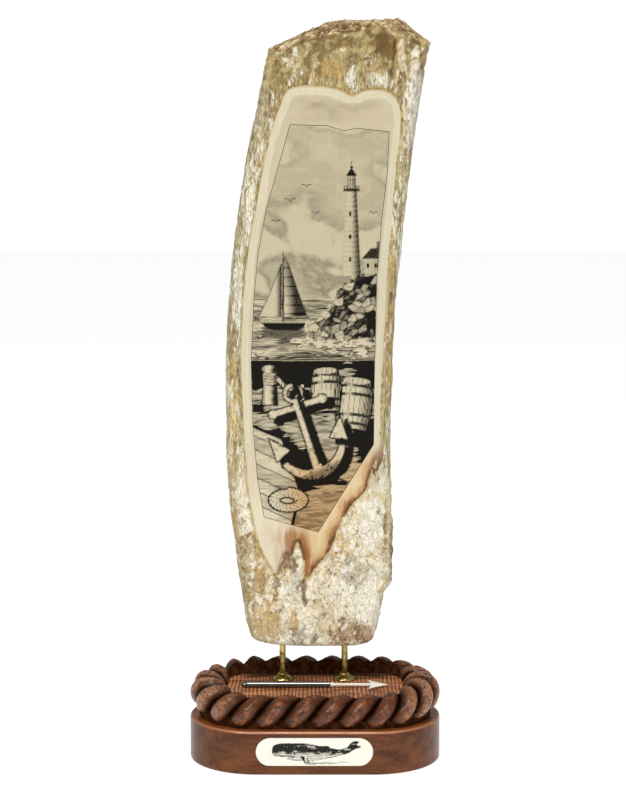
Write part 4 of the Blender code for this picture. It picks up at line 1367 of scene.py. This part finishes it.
def draw_anchor(art, px, pz, size, lean):
    """A plain ship's anchor that leans, with its shade thrown to the lower right."""
    c, s = math.cos(lean), math.sin(lean)
    for shade in (True, False):
        ox, oz = (px + 3.4, pz - 2.6) if shade else (px, pz)
        dx, dz = (art.x - ox) / size, (art.z - oz) / size
        x, z = c * dx + s * dz, -s * dx + c * dz
        shank = line_distance(x, z, (0, -1.9), (0, 2.0), 0.26, 0.17)
        stock = line_distance(x, z, (-1.35, 1.72), (1.35, 1.72), 0.17)
        knobs = np.minimum(np.hypot(x - 1.35, z - 1.72), np.hypot(x + 1.35, z - 1.72)) - 0.25
        ring = np.abs(np.hypot(x, z - 2.45) - 0.42) - 0.11
        turn = np.arctan2(x, -(z + 0.25))
        arm = np.abs(np.hypot(x, z + 0.25) - 1.7) - 0.30 * (1 - 0.45 * np.abs(turn) / 1.2)
        arm = np.maximum(arm, np.abs(turn) - 1.18)
        flukes = [outline_distance(x, z, [(side * u, v) for u, v in FLUKE]) for side in (-1, 1)]
        whole = np.minimum.reduce([shank, stock, knobs, ring, arm, *flukes])
        if shade:
            jag = 0.05 * flat_noise(art.x, art.z, (4.0, 0.8), 2, 64)
            art.lay((whole + jag) * size - 0.7, 0.98, soft=0.5)
            continue
        whole = whole * size
        art.lay(whole - 0.35, 0.99, soft=0.25)
        rust = smooth(0.42, 0.55, flat_noise(art.x, art.z, (1.2, 1.0), 2, 68))
        tone = 0.06 + 0.85 * smooth(0.02, 0.16, x) * (np.abs(x) < 0.4) * (z > -1.5)
        tone = tone + 0.55 * smooth(-0.05, -0.4, z + 1.55 - 0.1 * x) * (whole < -0.3)
        tone = tone + 0.5 * smooth(-0.7, -0.15, whole) + 0.35 * rust
        art.lay(whole, np.clip(tone, 0.03, 0.95), (dx - dz) * size / 0.6)


def draw_barrel(art, px, pz, wide, tall, lean):
    c, s = math.cos(lean), math.sin(lean)
    dx, dz = art.x - px, art.z - pz
    x, z = c * dx + s * dz, -s * dx + c * dz
    half = wide * (1 - 0.20 * (z / tall) ** 2)
    across = np.clip(x / half, -1, 1)
    bend = z + 0.4 - 0.9 * (1 - across**2)
    body = box(x, bend, half, tall)
    art.lay(body - 0.5, 0.98, soft=0.5)
    stave = np.abs((np.arcsin(across) * 3.2 + 0.5) % 1 - 0.5)
    tone = 0.10 + 0.62 * smooth(0.1, 1.0, across) + 0.35 * smooth(-0.7, -1.0, across)
    tone = tone + 0.5 * smooth(0.10, 0.02, stave)
    art.lay(body, np.clip(tone, 0.04, 0.97), x / 0.65)
    for level in (-0.78, -0.42, 0.42, 0.78):
        hoop = np.maximum(np.abs(bend - level * tall) - 0.75, body)
        art.lay(hoop, 0.86 - 0.55 * smooth(0.35, 0.0, np.abs(across + 0.35)))
    lid = (x / (wide * 0.80)) ** 2 + ((z - tall + 0.1) / 1.7) ** 2
    art.cover(smooth(1.25, 1.0, lid), 0.9)
    art.cover(smooth(1.02, 0.85, lid), 0.16 + 0.3 * (np.sin(x * 2.6) > 0.8), x / 0.7)


def draw_rope(art, path, thick):
    """Laid rope along a path of points, light, with its strands marked."""
    best = np.full(art.x.shape, 1e9)
    run, side = np.zeros_like(best), np.zeros_like(best)
    length = 0.0
    for (ax, az), (bx, bz) in zip(path, path[1:]):
        ex, ez = bx - ax, bz - az
        size = math.hypot(ex, ez)
        t = np.clip(((art.x - ax) * ex + (art.z - az) * ez) / size**2, 0, 1)
        qx, qz = art.x - ax - t * ex, art.z - az - t * ez
        d = np.hypot(qx, qz)
        closer = d < best
        best = np.where(closer, d, best)
        run = np.where(closer, length + t * size, run)
        side = np.where(closer, (ex * qz - ez * qx) / size / thick, side)
        length += size
    art.lay(best - thick - 0.6, 0.98, soft=0.4)
    strand = smooth(0.62, 0.95, (run / (1.7 * thick) + 0.55 * side) % 1.0)
    tone = 0.06 + 0.75 * strand + 0.35 * smooth(0.5, 1.0, np.abs(side))
    art.lay(best - thick, np.clip(tone, 0, 0.95), run / 0.7)


def coil_path(px, pz, wide, tall, turns, steps=26):
    path = []
    for k in range(int(turns * steps)):
        angle = 2 * math.pi * k / steps
        grow = 0.45 + 0.55 * k / (turns * steps)
        path.append((px + wide * grow * math.cos(angle), pz + tall * grow * math.sin(angle)))
    return path


def draw_planks(art):
    """Edge of a plank wharf that runs down to the left."""
    x, z = art.x, art.z
    wharf = [(-60, 178), (-16.5, 160), (-8.0, 134.5), (-16.0, 100), (-60, 100)]
    edge = outline_distance(x, z, wharf)
    art.lay(edge - 1.4, 0.99, soft=0.4)
    board = (z * 0.92 + 0.42 * x) / 6.2
    streak = flat_noise(x - 0.4 * z, z * 1.2, (8.0, 0.9), 2, 65)
    tone = 0.16 + 0.16 * (np.floor(board) % 2) + 0.22 * streak
    tone = tone + 0.8 * smooth(0.44, 0.49, np.abs(board % 1 - 0.5))
    art.lay(edge, np.clip(tone, 0.03, 0.97), board * 9.0)


def draw_harbour(x, z):
    """The lower picture: an anchor, barrels and rope on a wharf."""
    art = Picture(x, z)
    draw_water(art)
    draw_planks(art)
    draw_barrel(art, 19.0, 177.0, 8.8, 12.0, -0.10)
    draw_barrel(art, 5.5, 184.0, 7.2, 10.0, 0.05)
    draw_bollard(art, -22.0, 186.0, 1.25)
    draw_rope(art, [(-18.4, 190), (-14, 185.5), (-10.0, 184.6), (-6.4, 186.4)], 1.0)
    draw_anchor(art, -3.5, 161.0, 9.4, 0.32)
    draw_rope(art, coil_path(-13.5, 130.0, 9.4, 5.2, 3.3), 1.05)
    return art


def draw_coast(x, z):
    """The upper picture: a lighthouse on a headland, with a sloop off it."""
    art = Picture(x, z)
    draw_sky(art)
    draw_sea(art, 229.0, 200.0)
    draw_headland(art)
    draw_lighthouse(art)
    draw_sloop(art, -15.5, 216.0, 1.35)
    for px, pz, size in ((-12, 276, 3.0), (-4, 283, 2.4), (0, 270, 2.0), (-19, 266, 2.2),
                         (28, 270, 2.0)):
        draw_gull(art, px, pz, size)
    return art


def draw_face(x, z):
    lower, upper = draw_harbour(x, z), draw_coast(x, z)
    to_upper, to_lower = outline_distance(x, z, UPPER), outline_distance(x, z, LOWER)
    nearer = np.where(np.abs(to_upper) < np.abs(to_lower), to_upper, to_lower)
    high = z > BETWEEN
    return {
        "tone": upper.tone * fill(to_upper, 0.15) + lower.tone * fill(to_lower, 0.15),
        "phase": np.where(high, upper.phase, lower.phase),
        "stipple": np.where(high, upper.stipple, lower.stipple),
        "outline": np.clip(nearer, -3, 3),
    }


HAZES = ((-2, 322.5, 9, 3.0, 0.5), (12, 319.5, 10, 3.0, 0.45), (26, 321.5, 6, 2.4, 0.3),
         (4, 315.5, 16, 2.0, 0.25))


def face_ground(x, z, window):
    """Colours of the polished ivory: a paler band along its rim, and brown heat stains low down."""
    ivory = screen(187, 175, 144) + 0 * x[..., None]

    def stain(shade, share):
        nonlocal ivory
        ivory = blend(ivory, screen(*shade), share)

    stain((204, 192, 162), smooth(270, 160, z))
    stain((220, 208, 180), 0.85 * smooth(150, 118, z) * smooth(-6, -18, x))
    for px, pz, rx, rz, amount in HAZES:
        haze = mound(x, z, px, pz, rx, rz) * (0.8 + 0.5 * flat_noise(x, z, (4.0, 2.0), 2, 73))
        stain((140, 126, 108), np.clip(1.2 * amount * haze, 0, 0.8))
    wander = 0.7 * flat_noise(x, z, (6.0, 14.0), 2, 71)
    faded = 1 - 0.85 * smooth(165, 140, z)
    stain((208, 203, 178), 0.6 * smooth(-5.2, -3.4, window + wander) * faded)
    stain((170, 158, 128), 0.30 * np.exp(-(((window + 4.7 + wander) / 0.5) ** 2)) * faded)
    stain((176, 166, 136), 0.22 * np.exp(-(((window + 2.3 + 1.3 * wander) / 0.4) ** 2)) * faded)
    stain((168, 140, 84), 0.75 * smooth(-1.3, 0.1, window))
    # heat stain along the lower right slant and round the foot of the picture
    low = smooth(160, 142, z) * smooth(-15, -6, x)
    stain((216, 190, 142), 0.8 * low)
    ragged = window + 1.8 * flat_noise(x, z, (2.6, 5.0), 3, 74)
    stain((180, 120, 54), 0.75 * smooth(-6.4, -1.6, ragged) * low)
    stain((112, 62, 18), 0.9 * smooth(-3.2, -0.9, ragged) * low)
    flame = np.exp(-(((x + 10.5 + 0.25 * (z - 110)) / 8.5) ** 2))
    flame = flame * smooth(88, 100, z) * smooth(121, 110, z)
    flame = flame * (0.85 + 0.8 * flat_noise(x, z, (1.8, 9.0), 3, 72))
    stain((146, 82, 10), np.clip(flame, 0, 0.8))
    notch = smooth(-3.0, -0.5, window) * smooth(-17, -14, x) * (x < -5) * (z < 114)
    stain((78, 42, 14), 0.8 * np.clip(smooth(-1.6, -0.2, ragged) * low + notch, 0, 1))
    # the dark part of the picture sits on a browner ground
    brown = smooth(0.3, -0.3, outline_distance(x, z, LOWER)) * smooth(166, 126, z)
    stain((192, 146, 90), 0.8 * brown * smooth(-22, -4, x))
    return ivory


def make_face(finish):
    """The polished front: a thin panel that follows the tusk's front, let into the bark."""
    rows, columns = FACE_ROWS, FACE_COLUMNS
    z = np.linspace(*FACE_SPAN, rows)[:, None] + np.zeros((1, columns))
    left = np.interp(z, [89, 105, 130, 170, 200, 230, 265, 300, 332],
                     [-28, -28, -34, -37, -37.6, -36.6, -32, -25.4, -18])
    right = np.interp(z, [89, 110, 130, 150, 200, 245, 300, 320, 332],
                      [6, 12, 24, 33.4, 34.8, 37, 41.6, 42.6, 41])
    x = left + (right - left) * np.linspace(0, 1, columns)[None, :]
    points = np.stack([x, face_level(x, z), z], -1).reshape(-1, 3)
    hub = np.array([3.0, face_level(np.array(3.0), np.array(210.0)) + 0.7, 210.0])
    faces = grid_faces(rows, columns)
    border = grid_border(rows, columns)
    for first, second in zip(border, border[1:] + border[:1]):
        faces.append([second, first, len(points)])
    face = new_piece("polished_face", np.concatenate([points, [hub]]), faces, finish)
    dress(face, "tusk")
    for name, values in draw_face(x, z).items():
        mark(face, name, np.append(values.ravel(), 0.0))
    ground = face_ground(x, z, outline_distance(x, z, WINDOW))
    ground = np.clip(ground, 0, 1).reshape(-1, 3)
    mark(face, "ground", np.concatenate([ground, ground[:1]]))


def draw_whale(x, z):
    """A sperm whale with its flukes raised, as such plaques usually show one."""
    art = Picture(x, z)
    back = [(-20.5, -0.4), (-20.2, 2.6), (-18.0, 4.0), (-12.0, 4.5), (-4.0, 4.2), (3.0, 3.0),
            (6.5, 3.0), (8.0, 2.0), (12.0, 1.4), (15.4, 2.2), (17.6, 4.4), (19.2, 5.4), (21.6, 5.2),
            (20.4, 3.6), (22.6, 2.6), (19.4, 1.4), (16.6, -0.4), (11.5, -2.0), (4.0, -3.6),
            (-4.0, -4.4), (-11.0, -4.0), (-13.6, -3.2), (-10.0, -2.4), (-15.0, -2.4), (-19.6, -1.6)]
    d = outline_distance(x, z, rounded_outline(back, 3))
    belly = z + 0.02 * x + 0.35 * np.sin(x * 0.9) + 0.5 * flat_noise(x, z, (2.2, 0.8), 2, 81)
    shine = flat_noise(x, z, (4.0, 0.7), 3, 82)
    tone = 0.20 + 0.76 * smooth(-1.6, 0.3, belly) - 0.55 * smooth(0.42, 0.6, shine) * (belly > 0)
    tone = tone - 0.35 * smooth(1.6, 3.2, z - 0.12 * np.abs(x)) * smooth(-0.6, -1.2, d)
    tone = tone + 0.55 * smooth(-0.5, 0.0, d)
    tone = tone + 0.4 * (np.sin((z - 0.08 * x) * 5.5) > 0.6) * (belly < -0.6)
    art.lay(d, np.clip(tone, 0.04, 1.0), (z - 0.012 * x**2) / 0.36, soft=0.14)
    art.lay(line_distance(x, z, (-19.4, -1.7), (-9.6, -2.2), 0.16), 0.98, soft=0.12)
    art.lay(np.hypot(x + 9.6, z + 0.9) - 0.40, 0.98, soft=0.12)
    fin = outline_distance(x, z, [(-7.0, -2.0), (-4.4, -6.0), (-2.2, -5.4), (-3.8, -2.2)])
    glint = smooth(0.2, 0.5, flat_noise(x, z, (0.9, 2.0), 2, 83))
    art.lay(fin, 0.92 - 0.7 * glint, soft=0.14)
    for k in range(4):
        ripple = z + 5.2 + 0.25 * k + 0.25 * np.sin(x * 0.8 + k)
        art.lay(box(x + 2 * k - 6, ripple, 11 - 2.2 * k, 0.12), 0.7, soft=0.12)
    return art


def make_plaque(finish):
    """Plate with half-round ends, a little eased at its rim."""
    rows, columns = PLAQUE_ROWS, PLAQUE_COLUMNS
    px, pz = PLAQUE_MIDDLE
    half_x, half_z = PLAQUE_SIZE[0] / 2, PLAQUE_SIZE[1] / 2
    v = np.linspace(-1, 1, rows)[:, None] + np.zeros((1, columns))
    level = half_z * np.sin(v * math.pi / 2)
    reach = half_x - half_z + np.sqrt(np.maximum(half_z**2 - level**2, 0.0004))
    x = reach * np.linspace(-1, 1, columns)[None, :]
    rim = np.minimum(reach - np.abs(x), half_z - np.abs(level))
    y = PLAQUE_FRONT + 0.35 * smooth(0.5, 0.0, rim)
    points = np.stack([x + px, y, level + pz], -1).reshape(-1, 3)
    faces = grid_faces(rows, columns)
    border = grid_border(rows, columns)
    back = points[border] + np.array((0, PLAQUE_DEPTH, 0))
    start, count = len(points), len(border)
    for k, first in enumerate(border):
        after = (k + 1) % count
        faces.append([border[after], first, start + k, start + after])
        faces.append([start + after, start + k, start + count])
    points = np.concatenate([points, back, [back.mean(0)]])
    plaque = new_piece("whale_panel", points, faces, finish, 60)
    dress(plaque, "whale_plaque")
    art = draw_whale(x, level)
    edge = half_z - np.hypot(np.maximum(np.abs(x) - (half_x - half_z), 0), level)
    for name, values, behind in (("tone", art.tone, 0.0), ("phase", art.phase, 0.0),
                                 ("stipple", art.stipple, 0.0), ("outline", edge - 0.12, 9.0)):
        mark(plaque, name, np.append(values.ravel(), np.full(len(points) - x.size, behind)))


# ---------------------------------------------------------------- floor, light and camera


def add_light(name, place, aim, size, watts):
    lamp = bpy.data.lights.new(name, "AREA")
    lamp.shape = "RECTANGLE"
    lamp.size, lamp.size_y = size
    lamp.energy = watts
    obj = bpy.data.objects.new(name, lamp)
    bpy.context.scene.collection.objects.link(obj)
    obj.location = place
    obj.rotation_euler = (Vector(aim) - Vector(place)).to_track_quat("-Z", "Y").to_euler()


def make_surroundings():
    """Pale floor under a pale studio, brighter to the camera than to the object."""
    scene = bpy.context.scene
    scene.view_settings.view_transform = "Standard"
    scene.world = bpy.data.worlds.new("Studio")
    scene.world.use_nodes = True
    n = Nodes(scene.world.node_tree)
    seen = n.out("ShaderNodeLightPath", None, "Is Camera Ray")
    back = scene.world.node_tree.nodes["Background"]
    n.plug((1, 1, 1), back.inputs["Color"])
    n.plug(n.ramp(seen, 0.0, 1.0, 0.30, 1.05), back.inputs["Strength"])
    mesh = bpy.data.meshes.new("studio_floor")
    corners = [(sx * STAGE_HALF, sy * STAGE_HALF, -STAGE_GAP)
               for sx, sy in ((-1, -1), (1, -1), (1, 1), (-1, 1))]
    mesh.from_pydata(corners, [], [(0, 1, 2, 3)])
    pale = Finish("Pale floor", Roughness=0.9, Base_Color=(0.5, 0.5, 0.5),
                  Emission_Color=(1, 1, 1), Emission_Strength=0.8)
    mesh.materials.append(pale.material)
    floor = bpy.data.objects.new("studio_floor", mesh)
    scene.collection.objects.link(floor)
    for light in LIGHTS:
        add_light(*light)


def make_camera():
    lens = bpy.data.cameras.new("Camera")
    lens.sensor_width = SENSOR
    lens.lens = FOCAL_PIXELS / PICTURE_HEIGHT * SENSOR
    lens.clip_start, lens.clip_end = 0.05, 20.0
    camera = bpy.data.objects.new("Camera", lens)
    bpy.context.scene.collection.objects.link(camera)
    camera.location = CAMERA_PLACE
    camera.rotation_euler = (math.radians(90 - CAMERA_DIP), 0, 0)
    bpy.context.scene.camera = camera


make_camera()
make_surroundings()
make_rope(rope_finish())
make_plinth(plinth_finish())
make_floor(floor_finish())
make_posts(brass_finish())
make_harpoon(ebony_finish(), bone_finish())
make_plaque(plaque_finish())
make_bark(bark_finish())
make_face(face_finish())
